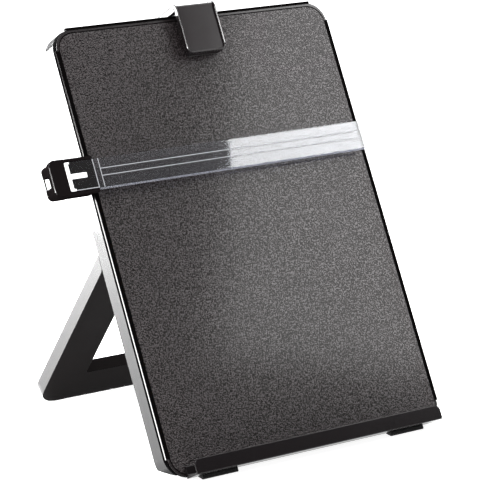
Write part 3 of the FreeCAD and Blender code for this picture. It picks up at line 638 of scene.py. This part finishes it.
@dataclass(frozen=True)
class Shell(Finish):
    """A plastic that is glossy on the outside of the board's skirt and matt within it.

    Attributes:
        half: half the width, in millimetres, within which it is matt.
        span: the stretch up the board within which it is matt.
        matt: how matt it is there.
        sheen: how strongly it reflects straight on there.
    """

    half: float = 112.0
    span: Point = (2.0, 320.0)
    matt: float = 0.5
    sheen: float = 0.15

    def shader(self, graph: Graph) -> Signal:
        """The plastic's two surfaces, mixed by place.

        Args:
            graph: the material's graph.

        Returns:
            The shader.
        """
        place, scale = BOARD.inverted(), 1.0 / MM
        spot = graph.signal("ShaderNodeTexCoord", "Object")
        board = graph.signal("ShaderNodeMapping", "Vector", None, {
            "Vector": spot, "Location": place.translation * scale, "Rotation": place.to_euler(),
            "Scale": (scale,) * 3})
        parts = graph.node("ShaderNodeSeparateXYZ", None, {"Vector": board})
        across, up = (Signal(graph, parts.outputs[i]) for i in (0, 1))
        low, high = self.span
        middle = (low + high) / 2
        between = (self.half - across.size()).clamped(0.0, 1.0)
        inside = between * (high - middle - (up - middle).size()).clamped(0.0, 1.0)
        return graph.mixed(inside, super().shader(graph), graph.even(self.colour, self.matt, self.sheen))


@dataclass(frozen=True)
class Clear(Finish):
    """A clear plastic, seen straight through and mirroring what stands before it.

    Attributes:
        index: its refractive index.
        gain: how much of a face's full reflection it shows.
        haze: how much of the light its fine scratches scatter.
    """

    index: float = 1.49
    gain: float = 0.68
    haze: float = 0.009

    def shader(self, graph: Graph) -> Signal:
        """The clear and the mirroring share of what is seen.

        Args:
            graph: the material's graph.

        Returns:
            The shader.
        """
        height = graph.noise(graph.place(), 1.0 / self.pitch, 0.0)
        values = {"Height": height, "Distance": self.depth * MM}
        bump = graph.signal("ShaderNodeBump", "Normal", None, values)
        through = graph.signal("ShaderNodeBsdfTransparent", "BSDF", None, {"Color": (*self.colour, 1.0)})
        mirror = graph.signal("ShaderNodeBsdfAnisotropic", "BSDF", None, {
            "Color": (1.0, 1.0, 1.0, 1.0), "Roughness": self.roughness, "Normal": bump})
        share = graph.signal("ShaderNodeFresnel", 0, None, {"IOR": self.index, "Normal": bump})
        white = graph.signal("ShaderNodeBsdfDiffuse", "BSDF", None, {"Color": (*DUST, 1.0)})
        dusty = graph.mixed(self.haze, through, white)
        return graph.mixed((share * self.gain).clamped(0.0, 1.0), dusty, mirror)


# the grained face, its colour painted darker in the grain's furrows as shade
FACE = Finish("grained_black", (0.0172, 0.0142, 0.0147), 0.15, coat=0.45, specular=0.138, grain=Grain.LEATHER,
              pitch=0.95, depth=0.18, wear=0.04, mottle_and_furrow_shade=0.66)
MARGIN = Finish("margin_black", (0.0085, 0.0072, 0.0074), 0.2, specular=0.27, pitch=3.0, depth=0.004)
RAIL = Faced("rail_black", (0.0016, 0.0014, 0.0014), 0.4, specular=0.0, pitch=2.5, depth=0.004)
GLOSS = Shell("gloss_black", (0.006, 0.006, 0.0065), 0.15, specular=0.32, pitch=4.0, depth=0.006, edge=0.25)
LEG = Faced("leg_black", (0.0045, 0.0036, 0.0036), 0.42, specular=0.018, pitch=4.0, depth=0.006, edge=0.5,
            side=(-1.0, 0.0, 0.0), gloss=0.15, sheen=0.4)
SATIN = Finish("satin_black", (0.005, 0.0042, 0.0045), 0.17, specular=0.09, pitch=1.2, depth=0.003, wear=0.02,
               edge=0.25)
GRIP = Faced("grip_black", (0.0045, 0.0036, 0.0038), 0.4, specular=0.0, pitch=1.2, depth=0.003, wear=0.02)
CLIP = Faced("clip_black", (0.0085, 0.007, 0.0074), 0.17, specular=0.22, pitch=6.0, depth=0.006, wear=0.02)
RUBBER = Finish("black_rubber", (0.006, 0.006, 0.006), 0.6, pitch=0.8, depth=0.01, specular=0.3, edge=0.3)
BRACKET = Finish("dark_steel", (0.04, 0.04, 0.044), 0.42, metallic=0.6, pitch=1.0, depth=0.006, edge=0.2)
WIRE = Finish("drawn_wire", (0.6, 0.6, 0.62), 0.28, metallic=1.0, grain=Grain.DRAWN, pitch=0.3, depth=0.002,
              edge=0.1)
SCREW = Finish("bright_screw", (0.62, 0.62, 0.64), 0.3, metallic=1.0, pitch=0.7, depth=0.003, edge=0.15)
BLACK_SCREW = Finish("black_screw", (0.03, 0.03, 0.03), 0.4, metallic=0.7, pitch=0.7, depth=0.003, edge=0.15)
SPRING = Finish("spring_wire", (0.66, 0.66, 0.68), 0.25, metallic=1.0, grain=Grain.DRAWN, pitch=0.2,
                depth=0.002)
# painted highlight: the T key's white stands for light caught on the strip's end wall and rib
KEY_HIGHLIGHT = Finish("painted_highlight_key", (0.85, 0.85, 0.85), 0.35, pitch=1.0, depth=0.004, wear=0.03)
# the lines' grey: real engraved lines, and painted highlights for the short lines and the edge line
INK_AND_GLINTS = Finish("line_ink_and_glints", (0.25, 0.255, 0.27), 0.4, specular=0.0, pitch=0.5, depth=0.001, wear=0.03)
CLEAR = Clear("clear_acrylic", (0.9, 0.91, 0.93), 0.05, pitch=22.0, depth=0.12)
LIP = Clear("lip_acrylic", (0.62, 0.64, 0.74), 0.3, pitch=22.0, depth=0.05, gain=0.1, haze=0.14)


# ---- sub-assemblies, in millimetres


@dataclass
class Board:
    """The face plate with its rails, in front of the deep frame.

    Attributes:
        half: half the plate's width at its two ends.
        top: its upper edge.
        corner: its corner radius.
        notch: half its width between the ends, where the side rails stand beside it.
        waist: the heights between which it is that narrow.
        back: the level of its rear face.
        rail: how far out the side rails reach.
        studs: how far out and how high the screw studs stand.
    """

    half: float = 112.5
    top: float = 320.5
    corner: float = 14.4
    notch: float = 110.6
    waist: Point = (14.6, 305.9)
    back: float = -2.2
    rail: float = 113.95
    studs: tuple[float, Triple] = (106.8, (22.3, 130.15, 299.7))

    def build(self) -> None:
        """Makes the plate, with its margin and grained field as thin pieces over it."""
        low, high = self.waist
        corners = [(self.notch, low), (self.notch, high), (self.half, high), (self.half, self.top),
                   (-self.half, self.top), (-self.half, high), (-self.notch, high), (-self.notch, low),
                   (-self.half, low), (-self.half, 0.0), (self.half, 0.0), (self.half, low)]
        radii = [self.corner if y in (0.0, self.top) else 0.0 for _, y in corners]
        outline = rounded(corners, radii, 12)
        panel = block(around(0.0, 110.3), (2.2, 317.6), 12.4, 12)
        self._plate(outline, panel)
        for name, finish, shape, levels, edge, segments in (
            ("plate_margin", MARGIN, outline, (-0.4, -0.12), 0.1, 1),
            ("grained_field", FACE, panel, (-0.6, 0.0), 0.14, 2),
        ):
            sheet = Solid(name)
            sheet.prism(Axis.Z, shape, levels, edge, Ends.HIGH, segments)
            sheet.build(finish, "board", slot="textured_plastic")

    def _plate(self, outline: Sequence[Point], panel: Sequence[Point]) -> None:
        """The plate with its rails, the step round the field and the screw studs.

        Args:
            outline: the plate's outline.
            panel: the grained field's.
        """
        plate = Solid("front_plate")
        plate.prism(Axis.Z, outline, (self.back, -0.3), 0.0)
        section = [(110.4, self.back), (110.4, -0.1), (110.9, -0.1), (113.45, -0.4), (self.rail, -0.9),
                   (self.rail, self.back)]
        for sign in SIDES:
            bead = rounded([(sign * x, z) for x, z in section], [0.0, 0.0, 0.2, 0.0, 0.0, 0.0], 4)
            plate.prism(Axis.Y, bead, (14.5, 306.5), 0.0)
        plate.prism(Axis.Z, block(around(0.0, 102.0), (319.7, 322.0), 0.6), (self.back, -0.04), 0.3)
        step = block(around(0.0, 111.1), (1.4, 318.4), 13.2, 12)
        plate.prism(Axis.Z, step, (-0.6, -0.09), 0.0, hole=panel)
        out, heights = self.studs
        for x in (-out, out):
            for y in heights:
                stud, bore = disc((x, y), 2.6), disc((x, y), 1.35)
                plate.prism(Axis.Z, stud, (-5.4, -2.0), 0.2, Ends.LOW, 2, bore)
        plate.build(RAIL, "board", ["front_panel"], "textured_plastic")


@dataclass
class Ledge:
    """The shelf that the sheets stand in, and the feet beneath it.

    Attributes:
        reach: half the shelf's width.
        feet: how far from the middle each foot begins and ends.
        sole: how far below the board's edge the feet stand at the front.
        front: the level of the feet's front face.
        rear: the level of their rear face.
    """

    reach: float = 102.0
    feet: Point = (64.0, 92.0)
    sole: float = -4.6
    front: float = 4.0
    rear: float = -13.0

    def build(self) -> None:
        """Makes the ledge and its feet."""
        ledge = Solid("ledge")
        floor = rounded([(-1.0, 0.0), (-1.0, 15.4), (0.8, 15.4), (0.8, 1.8), (7.6, 1.8), (7.6, 0.0)],
                        [0.3, 0.0, 0.0, 1.2, 0.8, 0.2], 5)
        ledge.prism(Axis.X, floor, around(0.0, self.reach - 0.15), 0.2, Ends.BOTH, 2)
        lip = block(around(0.0, self.reach), (-0.74, 9.4), [1.4, 1.4, 4.0, 4.0], 10)
        ledge.prism(Axis.Z, lip, (14.2, 16.0), 0.6, Ends.BOTH, 4)
        ledge.build(SATIN, "board", ["paper_ledge"], "moulded_plastic")
        heel = self.sole + (self.front - self.rear) * math.tan(LEAN)
        corners = [(self.sole, self.front), (-1.0, self.front), (-1.0, 0.0), (0.0, 0.0), (0.0, -2.2),
                   (3.35, -4.8), (heel + 2.9, self.rear), (heel, self.rear)]
        outline = rounded(corners, [0.9, 0.2, 0.1, 0.1, 0.1, 0.1, 0.2, 0.9], 4)
        for word, sign in zip(("left", "right"), SIDES):
            foot = Solid(f"foot_{word}")
            foot.prism(Axis.X, outline, sorted(sign * x for x in self.feet), 0.8, Ends.BOTH, 4)
            foot.build(RUBBER, "board", [f"front_foot_{word}"], "foot_rubber")


@dataclass
class Clip:
    """The rimmed jaw that holds the sheets' top edge.

    Attributes:
        half: half its width.
        low: its lower edge.
        corner: the radius of its lower corners.
        crest: its upper edge.
        front: the level of its face.
        back: the level of its finger plate behind the board.
        thick: the bent plate's thickness.
        rim: half the width of the raised rim.
    """

    half: float = 16.3
    low: float = 290.5
    corner: float = 4.5
    crest: float = 327.0
    front: float = 8.0
    back: float = -25.4
    thick: float = 1.5
    rim: float = 0.55

    def build(self) -> None:
        """Makes the jaw: a bent plate with a raised rim round it, a toe, cheeks and a finger plate."""
        jaw = Solid("clip_front")
        self._plate(jaw, self._spine(0.0, 1.3))
        bead = [(-self.rim, -1.4), (self.rim, -1.4), (self.rim, -0.5), (0.08, 0.0), (-0.08, 0.0),
                (-self.rim, -0.5)]
        jaw.sweep(self._edge(self._spine(2.0, 4.0)), bead)
        toe = block(around(0.0, 14.0), (self.low + 0.1, self.low + 2.2), 0.6)
        jaw.prism(Axis.Z, toe, (1.3, 7.2), 0.3)
        cheek = rounded([(313.5, -19.4), (326.2, -19.4), (326.2, -24.7), (313.5, -24.7)], 1.2, 4)
        wall = rounded([(323.3, 5.6), (326.2, 5.6), (326.2, -24.6), (323.3, -24.6)], [0.4, 1.5, 1.5, 0.4], 4)
        for sign in SIDES:
            jaw.prism(Axis.X, cheek, sorted((sign * 14.0, sign * self.half)), 0.3)
            jaw.prism(Axis.X, wall, sorted((sign * 14.4, sign * (self.half - 0.1))), 0.2)
        for i in range(4):
            groove = block(around(0.0, 11.0), (299.0 + 2.4 * i, 300.0 + 2.4 * i), 0.4)
            jaw.prism(Axis.Z, groove, (self.back, -25.0), 0.1)
        jaw.build(CLIP, "clip_jaw", ["clip_jaw"], "satin_plastic")

    def _spine(self, lift: float, bend: float) -> Line:
        """The bent plate's outer face, in section, from the toe over the crest to the tail.

        Args:
            lift: how far in front of that face the line runs.
            bend: the radius of the plate's bend at the crest.

        Returns:
            Its points, with the way that the face looks.
        """
        front, crest, back = self.front, self.crest, self.back
        path = [(self.low, front)] + [(self.low + 0.5 + 0.55 * i, front) for i in range(9)]
        corners = [(300.0, front), (crest, front), (crest, back), (300.0, back)]
        arc = rounded(corners, [0.0, bend, 3.0, 0.0], 8)
        path += arc[1:-1] + [(296.5, back)]
        points = [Vector((0.0, y, z)) for y, z in path]
        line = []
        for i, point in enumerate(points):
            heading = (points[min(i + 1, len(points) - 1)] - points[max(i - 1, 0)]).normalized()
            out = Vector((0.0, -heading.z, heading.y))
            line.append((point + out * lift, out))
        return line

    def _plate(self, jaw: Solid, spine: Line) -> None:
        """Adds the bent plate, narrowed round its lower corners.

        Args:
            jaw: the piece that it is added to.
            spine: its outer face, in section.
        """
        part = bmesh.new()
        sheets = []
        for depth in (0.0, self.thick):
            rows = []
            for point, out in spine:
                short = max(0.0, self.corner - (point.y - self.low))
                bow = math.sqrt(max(0.0, self.corner**2 - short**2))
                wide = self.half - self.corner + bow - 0.1
                level = point - out * depth
                rows.append([part.verts.new((level + Vector((x, 0, 0))) * MM) for x in (-wide, wide)])
            sheets.append(rows)
        outer, inner = sheets
        for i in range(len(spine) - 1):
            for rows in (outer, inner):
                part.faces.new((rows[i][0], rows[i][1], rows[i + 1][1], rows[i + 1][0]))
            for k in (0, 1):
                part.faces.new((outer[i][k], outer[i + 1][k], inner[i + 1][k], inner[i][k]))
        for i in (0, -1):
            part.faces.new((outer[i][0], outer[i][1], inner[i][1], inner[i][0]))
        jaw.take(part)

    def _edge(self, spine: Line) -> Line:
        """The rim's line: down one side, round the two lower corners and up the other.

        Args:
            spine: the line that it keeps to in section.

        Returns:
            Its points, with the way that the rim stands.
        """
        radius = self.corner - self.rim
        shift = Vector((self.half - self.rim, 0, 0))
        side = [(p, n) for p, n in spine if p.y >= self.low + self.corner or n.z < 0.99]
        right = [(p + shift, n) for p, n in side]
        left = [(p - shift, n) for p, n in side]
        turns = []
        for sign in SIDES:
            middle = Vector((sign * (self.half - self.corner), self.low + self.corner, spine[0][0].z))
            turn = []
            for step in range(9):
                angle = math.pi / 2 * step / 8
                reach = Vector((sign * math.cos(angle), -math.sin(angle), 0.0)) * radius
                turn.append((middle + reach, Vector((0.0, 0.0, 1.0))))
            turns.append(turn)
        return left[::-1] + turns[0] + turns[1][::-1] + right


@dataclass
class Slider:
    """The finger block that carries the strip, and the squeeze lever behind it.

    Attributes:
        low: the block's lower side.
        high: its upper side.
        cap: its finger end's span across the board.
        seat: the span of the strip's seat.
        corner: the radius of the cap's outer corners.
        wall: the cap's thickness at the sides.
        tray: the span of the lever's finger tray up the board.
        notch: the span of the tray's window.
        pivot: where the lever's pin stands.
    """

    low: float = 201.7
    high: float = 227.5
    cap: Point = (-147.0, -135.0)
    seat: Point = (-135.2, -112.5)
    corner: float = 4.5
    wall: float = 1.6
    tray: Point = (202.6, 226.6)
    notch: Point = (210.6, 218.6)
    pivot: float = -131.0

    def build(self) -> None:
        """Makes the block and the lever."""
        self._housing()
        self._lever()

    def _housing(self) -> None:
        """The block, the strip's seat, the front jaw and the pivot ears."""
        body = Solid("slider_block")
        wall, inner = self.wall, self.corner - self.wall
        cap = block(self.cap, (self.low, self.high), [self.corner, 0.4, 0.4, self.corner], 10)
        hollow = block((self.cap[0] + wall, self.cap[1] - wall), (self.low + wall, self.high - wall),
                       [inner, 0.3, 0.3, inner], 10)
        body.prism(Axis.Z, cap, (5.6, 9.0), 0.95, Ends.HIGH, 1)
        body.prism(Axis.Z, cap, (4.6, 5.7), 0.3, Ends.LOW, 2, hollow)
        body.prism(Axis.Z, block(self.seat, (self.low, self.high), 0.4), (4.2, 6.6), 0.35)
        for span in ((self.low, 204.05), (225.15, self.high)):
            body.prism(Axis.Z, block(self.seat, span, 0.3), (6.0, 8.2), 0.3)
        body.prism(Axis.Z, block((-116.5, -112.5), (203.7, 225.5), 0.5), (1.3, 5.0), 0.3)
        ear = block(around(self.pivot, 2.4), (-2.9, 5.0), [2.3, 2.3, 0.0, 0.0], 8)
        for span in ((203.7, 206.2), (223.0, 225.5)):
            body.prism(Axis.Y, ear, span, 0.25)
        body.build(GRIP, "guide", ["slider_housing"], "satin_plastic")

    def _lever(self) -> None:
        """The web with its groove jaw, the finger tray and the pivot ears."""
        lever = Solid("squeeze_lever")
        low, high = self.tray
        start, end = self.notch
        web = rounded([(-141.4, -6.0), (-114.2, -6.0), (-114.2, -3.5), (-110.8, -3.5), (-110.8, -2.4),
                       (-116.0, -2.4), (-118.0, -4.0), (-141.4, -4.0)],
                      [0.2, 1.0, 0.3, 0.3, 0.2, 0.3, 0.6, 0.1], 3)
        lever.prism(Axis.Y, web, (low + 0.3, high - 0.3), 0.25)
        left, inner, right = -146.0, -141.5, -136.0
        tray = rounded([(left, low), (right, low), (right, high), (left, high), (left, end), (inner, end),
                        (inner, start), (left, start)], [3.5, 0.5, 0.5, 3.5, 0.4, 0.4, 0.4, 0.4], 8)
        lever.prism(Axis.Z, tray, (-6.0, -3.6), 0.5, Ends.LOW, 3)
        lever.prism(Axis.Z, block((left, left + 0.6), (start - 0.5, end + 0.5)), (-5.2, -3.8), 0.1)
        wall = rounded([(-137.0, low), (left, low), (left, start), (left + 2.0, start),
                        (left + 2.0, low + 2.0), (-137.0, low + 2.0)], [0.3, 3.5, 0.4, 0.4, 1.5, 0.3], 6)
        for side in (wall, [(x, low + high - y) for x, y in wall]):
            lever.prism(Axis.Z, side, (-5.0, 3.6), 0.4, Ends.HIGH, 1, taper=1.0)
        cheek = rounded([(-138.0, -6.0), (-134.0, -6.0), (-136.0, 3.6), (-138.0, 3.6)],
                        [0.0, 0.5, 0.8, 0.0], 4)
        for span in ((low, low + 2.0), (high - 2.0, high)):
            lever.prism(Axis.Y, cheek, span, 0.3)
        ear = block(around(self.pivot, 2.4), (-5.0, 1.9), [0.0, 0.0, 2.3, 2.3], 8)
        for span in ((206.5, 209.0), (220.2, 222.7)):
            lever.prism(Axis.Y, ear, span, 0.25)
        lever.build(GRIP, "lever", ["slider_lever"], "satin_plastic")


@dataclass
class Strip:
    """The clear strip with its engraved lines, two short lines and an edge line that are painted highlights,
    and the white T key, a painted highlight on its end.

    Attributes:
        low: the strip's lower edge.
        high: its upper edge.
        left: its end within the slider block.
        right: its free end.
        bare: where it leaves the block.
        levels: the levels of its two faces.
        line_levels: the levels of the lines let into it, the engraved ones and the painted highlights alike.
        rules: how high the two long lines run.
        glint_marks: where the two short lines cross it, painted highlights of the strip's moulded ribs.
    """

    low: float = 204.35
    high: float = 224.85
    left: float = -134.9
    right: float = 108.6
    bare: float = -112.2
    levels: Point = (6.6, 8.2)
    line_levels: Point = (8.15, 8.23)
    rules: Point = (212.5, 217.6)
    glint_marks: Point = (-112.8, -108.5)

    def build(self) -> None:
        """Makes the strip, its lip, the lines on it, some of them painted highlights, and the key, a painted
        highlight.
        """
        strip = Solid("clear_strip")
        strip.prism(Axis.X, block((self.low, self.high), self.levels), (self.bare, self.right), 0.0)
        strip.prism(Axis.Z, block((self.left, self.bare), (self.low, self.high), 0.3), self.levels, 0.0)
        strip.build(CLEAR, "guide", ["guide_strip"], "clear_plastic")
        self._lip()
        self._lines()
        self._highlight_key()

    def _lip(self) -> None:
        """The slanted lip along the strip's lower edge."""
        lip = Solid("strip_lip")
        back, front = self.levels
        slant = [(self.low, front), (203.1, 5.9), (204.1, 5.9), (204.6, 6.3), (self.low, back)]
        lip.prism(Axis.X, rounded(slant, [0.3, 0.3, 0.3, 0.0, 0.0], 4), (self.bare, self.right), 0.0)
        lip.build(LIP, "guide", slot="clear_plastic")

    def _lines(self) -> None:
        """The long engraved lines, and the short ones and the one along the lower edge within the block,
        painted highlights of moulded ribs and of that edge.
        """
        lines = Solid("engraved_lines_and_glints")
        bare, end = self.glint_marks
        for y in self.rules:
            lines.prism(Axis.Z, block((end, 105.0), around(y, 0.24)), self.line_levels, 0.0)
        # painted highlights: short lines where the strip's moulded ribs catch the light
        for x in self.glint_marks:
            lines.prism(Axis.Z, block(around(x, 0.26), (self.low, self.high)), self.line_levels, 0.0)
        # painted highlight: a line where the strip's lower edge catches the light
        edge = block((self.left + 4.5, bare), (self.low + 0.1, self.low + 0.6))
        lines.prism(Axis.Z, edge, self.line_levels, 0.0)
        lines.build(INK_AND_GLINTS, "guide", slot="clear_plastic")

    def _highlight_key(self) -> None:
        """The T-shaped key, white as a painted highlight of the strip's end wall and a moulded rib: a bar
        with a foot at each end, and a stem.
        """
        key = Solid("painted_highlight_key")
        left, low, high = self.left, self.low, self.high
        stem, foot, tip = left + 3.0, left + 4.6, -119.6
        under, over = 212.8, 216.4
        outline = rounded([(left, low), (foot, low), (foot, low + 1.5), (stem, low + 1.5), (stem, under),
                           (tip, under), (tip, over), (stem, over), (stem, high - 1.2),
                           (foot - 0.6, high - 1.2), (foot - 0.6, high), (left, high)],
                          [1.2, 0.5, 0.5, 0.3, 0.4, 0.5, 0.5, 0.4, 0.2, 0.3, 0.3, 1.2], 4)
        key.prism(Axis.Z, outline, (7.4, 8.3), 0.2, Ends.HIGH, 2)
        key.build(KEY_HIGHLIGHT, "guide", ["strip_key"], "white_plastic")


@dataclass
class Dressing:
    """The finishes of the CAD pieces whose shapes are right as they are.

    Attributes:
        finishes: each finish with the nodes that take it.
    """

    finishes: tuple[tuple[Finish, tuple[str, ...]], ...] = (
        (GLOSS, ("back_frame",)),
        (LEG, ("leg_frame",)),
        (SATIN, ("clip_saddle",)),
        (RUBBER, ("toe_pad_left", "toe_pad_right", "clip_grip_pad", "slider_grip_pad")),
        (BRACKET, ("hinge_bracket_left", "hinge_bracket_right")),
        (WIRE, ("leg_pin_left", "leg_pin_right", "clip_pin", "slider_pin")),
        (SCREW, ("frame_screws", "bracket_screws")),
        (BLACK_SCREW, ("ledge_screws",)),
        (SPRING, ("clip_spring", "slider_spring")),
    )

    def apply(self) -> None:
        """Gives each piece its finish."""
        for finish, names in self.finishes:
            for name in names:
                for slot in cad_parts[name].material_slots:
                    slot.material = finish.material()


# ---- stage, light and camera


EYE = Vector((-0.87161, -1.38145835, 0.58362059))  # where the camera stands
WHITE_FACE = 4.0  # watts per square metre of a light as bright as the picture's white


@dataclass(frozen=True)
class Softbox:
    """A flat light that the glossy plastic mirrors. It shines away from across x upward.

    Attributes:
        name: its name.
        spot: where its middle is.
        across: its width, as a vector.
        upward: its height, as a vector square to the width.
        glow: how bright its face is, where 1 is the white of the picture.
    """

    name: str
    spot: Triple | Vector
    across: Triple | Vector
    upward: Triple | Vector
    glow: float

    def build(self) -> None:
        """Makes the light."""
        across, upward = Vector(self.across), Vector(self.upward)
        lamp = bpy.data.lights.new(self.name, "AREA")
        lamp.shape = "RECTANGLE"
        lamp.size, lamp.size_y = across.length, upward.length
        lamp.energy = WHITE_FACE * lamp.size * lamp.size_y * self.glow
        holder = bpy.data.objects.new(self.name, lamp)
        first, second = across.normalized(), upward.normalized()
        turned = Matrix((first, second, first.cross(second))).transposed().to_4x4()
        holder.matrix_world = Matrix.Translation(self.spot) @ turned
        holder.visible_camera = False
        bpy.context.scene.collection.objects.link(holder)


def mirrored(across: float, up: float, reach: float) -> Vector:
    """The point that the camera sees mirrored at a place on the board's face.

    Args:
        across: the place's distance right of the board's middle, in millimetres.
        up: its distance up the board.
        reach: how far from the face the point is, in metres.

    Returns:
        The point.
    """
    eye = BOARD.inverted() @ EYE
    eye.z = -eye.z
    place = Vector((across, up, 0.0)) * MM
    return BOARD @ (place + (place - eye).normalized() * reach)


def face_light(low: Point, high: Point, lean: float, reach: float, glow: float) -> Softbox:
    """A softbox whose mirror image covers a given patch of the board's face.

    Args:
        low: the patch's lower left corner on the board, in millimetres.
        high: its upper right corner.
        lean: how far its left edge runs to the right on the way up.
        reach: how far from the board the softbox stands, in metres.
        glow: how bright it is.

    Returns:
        The softbox.
    """
    corner = mirrored(*low, reach)
    across = mirrored(high[0], low[1], reach) - corner
    upward = mirrored(low[0] + lean, high[1], reach) - corner
    across -= upward * (across.dot(upward) / upward.length_squared)
    return Softbox("key", corner + (across + upward) / 2, across, upward, glow)


@dataclass
class Studio:
    """The pale light table, the softboxes and the surroundings.

    Attributes:
        boxes: the softboxes.
        reach: how far the table reaches each way, in metres.
        drop: how far below the feet its top lies.
        shine: how bright it is of itself.
        ambient: how bright the surroundings are.
    """

    boxes: tuple[Softbox, ...] = (
        face_light((-54.0, 75.0), (400.0, 520.0), 160.0, 0.95, 7.4),
        Softbox("top", (0.4, 0.5, 2.4), (4.0, 0.0, 0.0), (0.0, 4.0, 0.0), 4.5),
        Softbox("rear_left", (-0.35, 0.5, 0.26), (-0.28, -0.2, 0.0), (0.0, 0.0, 0.5), 27.0),
        Softbox("left", (-1.05, -0.45, 0.75), (0.1, -0.22, 0.0), (0.25, 0.11, 0.8), 14.0),
    )
    reach: float = 8.0
    drop: float = 0.0002
    shine: float = 0.93
    ambient: float = 0.06

    def build(self) -> None:
        """Makes the stage."""
        data = bpy.data.meshes.new("floor")
        corners = [(x, y, 0.0) for x, y in block(around(0.0, self.reach), around(0.0, self.reach))]
        data.from_pydata(corners, [], [(0, 1, 2, 3)])
        floor = bpy.data.objects.new("floor", data)
        floor.location.z = -self.drop
        bpy.context.scene.collection.objects.link(floor)
        data.materials.append(self._table())
        for box in self.boxes:
            box.build()
        world = bpy.data.worlds.new("surroundings")
        graph = Graph(world)
        values = {"Color": (1.0, 1.0, 1.0, 1.0), "Strength": self.ambient}
        glow = graph.signal("ShaderNodeBackground", 0, None, values)
        graph.node("ShaderNodeOutputWorld", None, {"Surface": glow})
        bpy.context.scene.world = world
        bpy.context.scene.view_settings.view_transform = "Standard"

    def _table(self) -> bpy.types.Material:
        """The table's white plastic, lit a little from below.

        Returns:
            The material.
        """
        made = bpy.data.materials.new("light_table")
        graph = Graph(made)
        wander = graph.noise(graph.place(), 0.0004, 1.0)
        graph.output(graph.signal("ShaderNodeBsdfPrincipled", "BSDF", None, {
            "Base Color": (0.5, 0.5, 0.5, 1.0),
            "Roughness": (wander - 0.5) * 0.1 + 0.6,
            "Specular IOR Level": 0.2,
            "Emission Color": (1.0, 1.0, 1.0, 1.0),
            "Emission Strength": self.shine,
        }))
        return made


@dataclass(frozen=True)
class Viewpoint:
    """Where the picture is taken from.

    Attributes:
        eye: the camera's place.
        aim: a point in the middle of the picture.
        lens: its focal length in millimetres.
        sensor: its sensor's width in millimetres.
        clip: the nearest and farthest that it sees, in metres.
    """

    eye: Vector
    aim: Vector
    lens: float
    sensor: float = 36.0
    clip: Point = (0.05, 50.0)

    def build(self) -> None:
        """Makes the camera and sets it as the scene's own."""
        data = bpy.data.cameras.new("view")
        data.lens = self.lens
        data.sensor_width = self.sensor
        data.dof.use_dof = False
        data.clip_start, data.clip_end = self.clip
        camera = bpy.data.objects.new("view", data)
        camera.location = self.eye
        camera.rotation_mode = "QUATERNION"
        camera.rotation_quaternion = (self.aim - self.eye).to_track_quat("-Z", "Y")
        bpy.context.scene.collection.objects.link(camera)
        bpy.context.scene.camera = camera


VIEW = Viewpoint(EYE, Vector((0.01424274, -0.00274452, 0.13149993)), 180.386)


def main() -> None:
    """Builds the whole scene."""
    logging.basicConfig(level=logging.INFO)
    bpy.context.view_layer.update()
    for assembly in (Board(), Ledge(), Clip(), Slider(), Strip()):
        assembly.build()
    Dressing().apply()
    Studio().build()
    VIEW.build()
    bpy.context.view_layer.update()


if __name__ == "__main__":
    main()
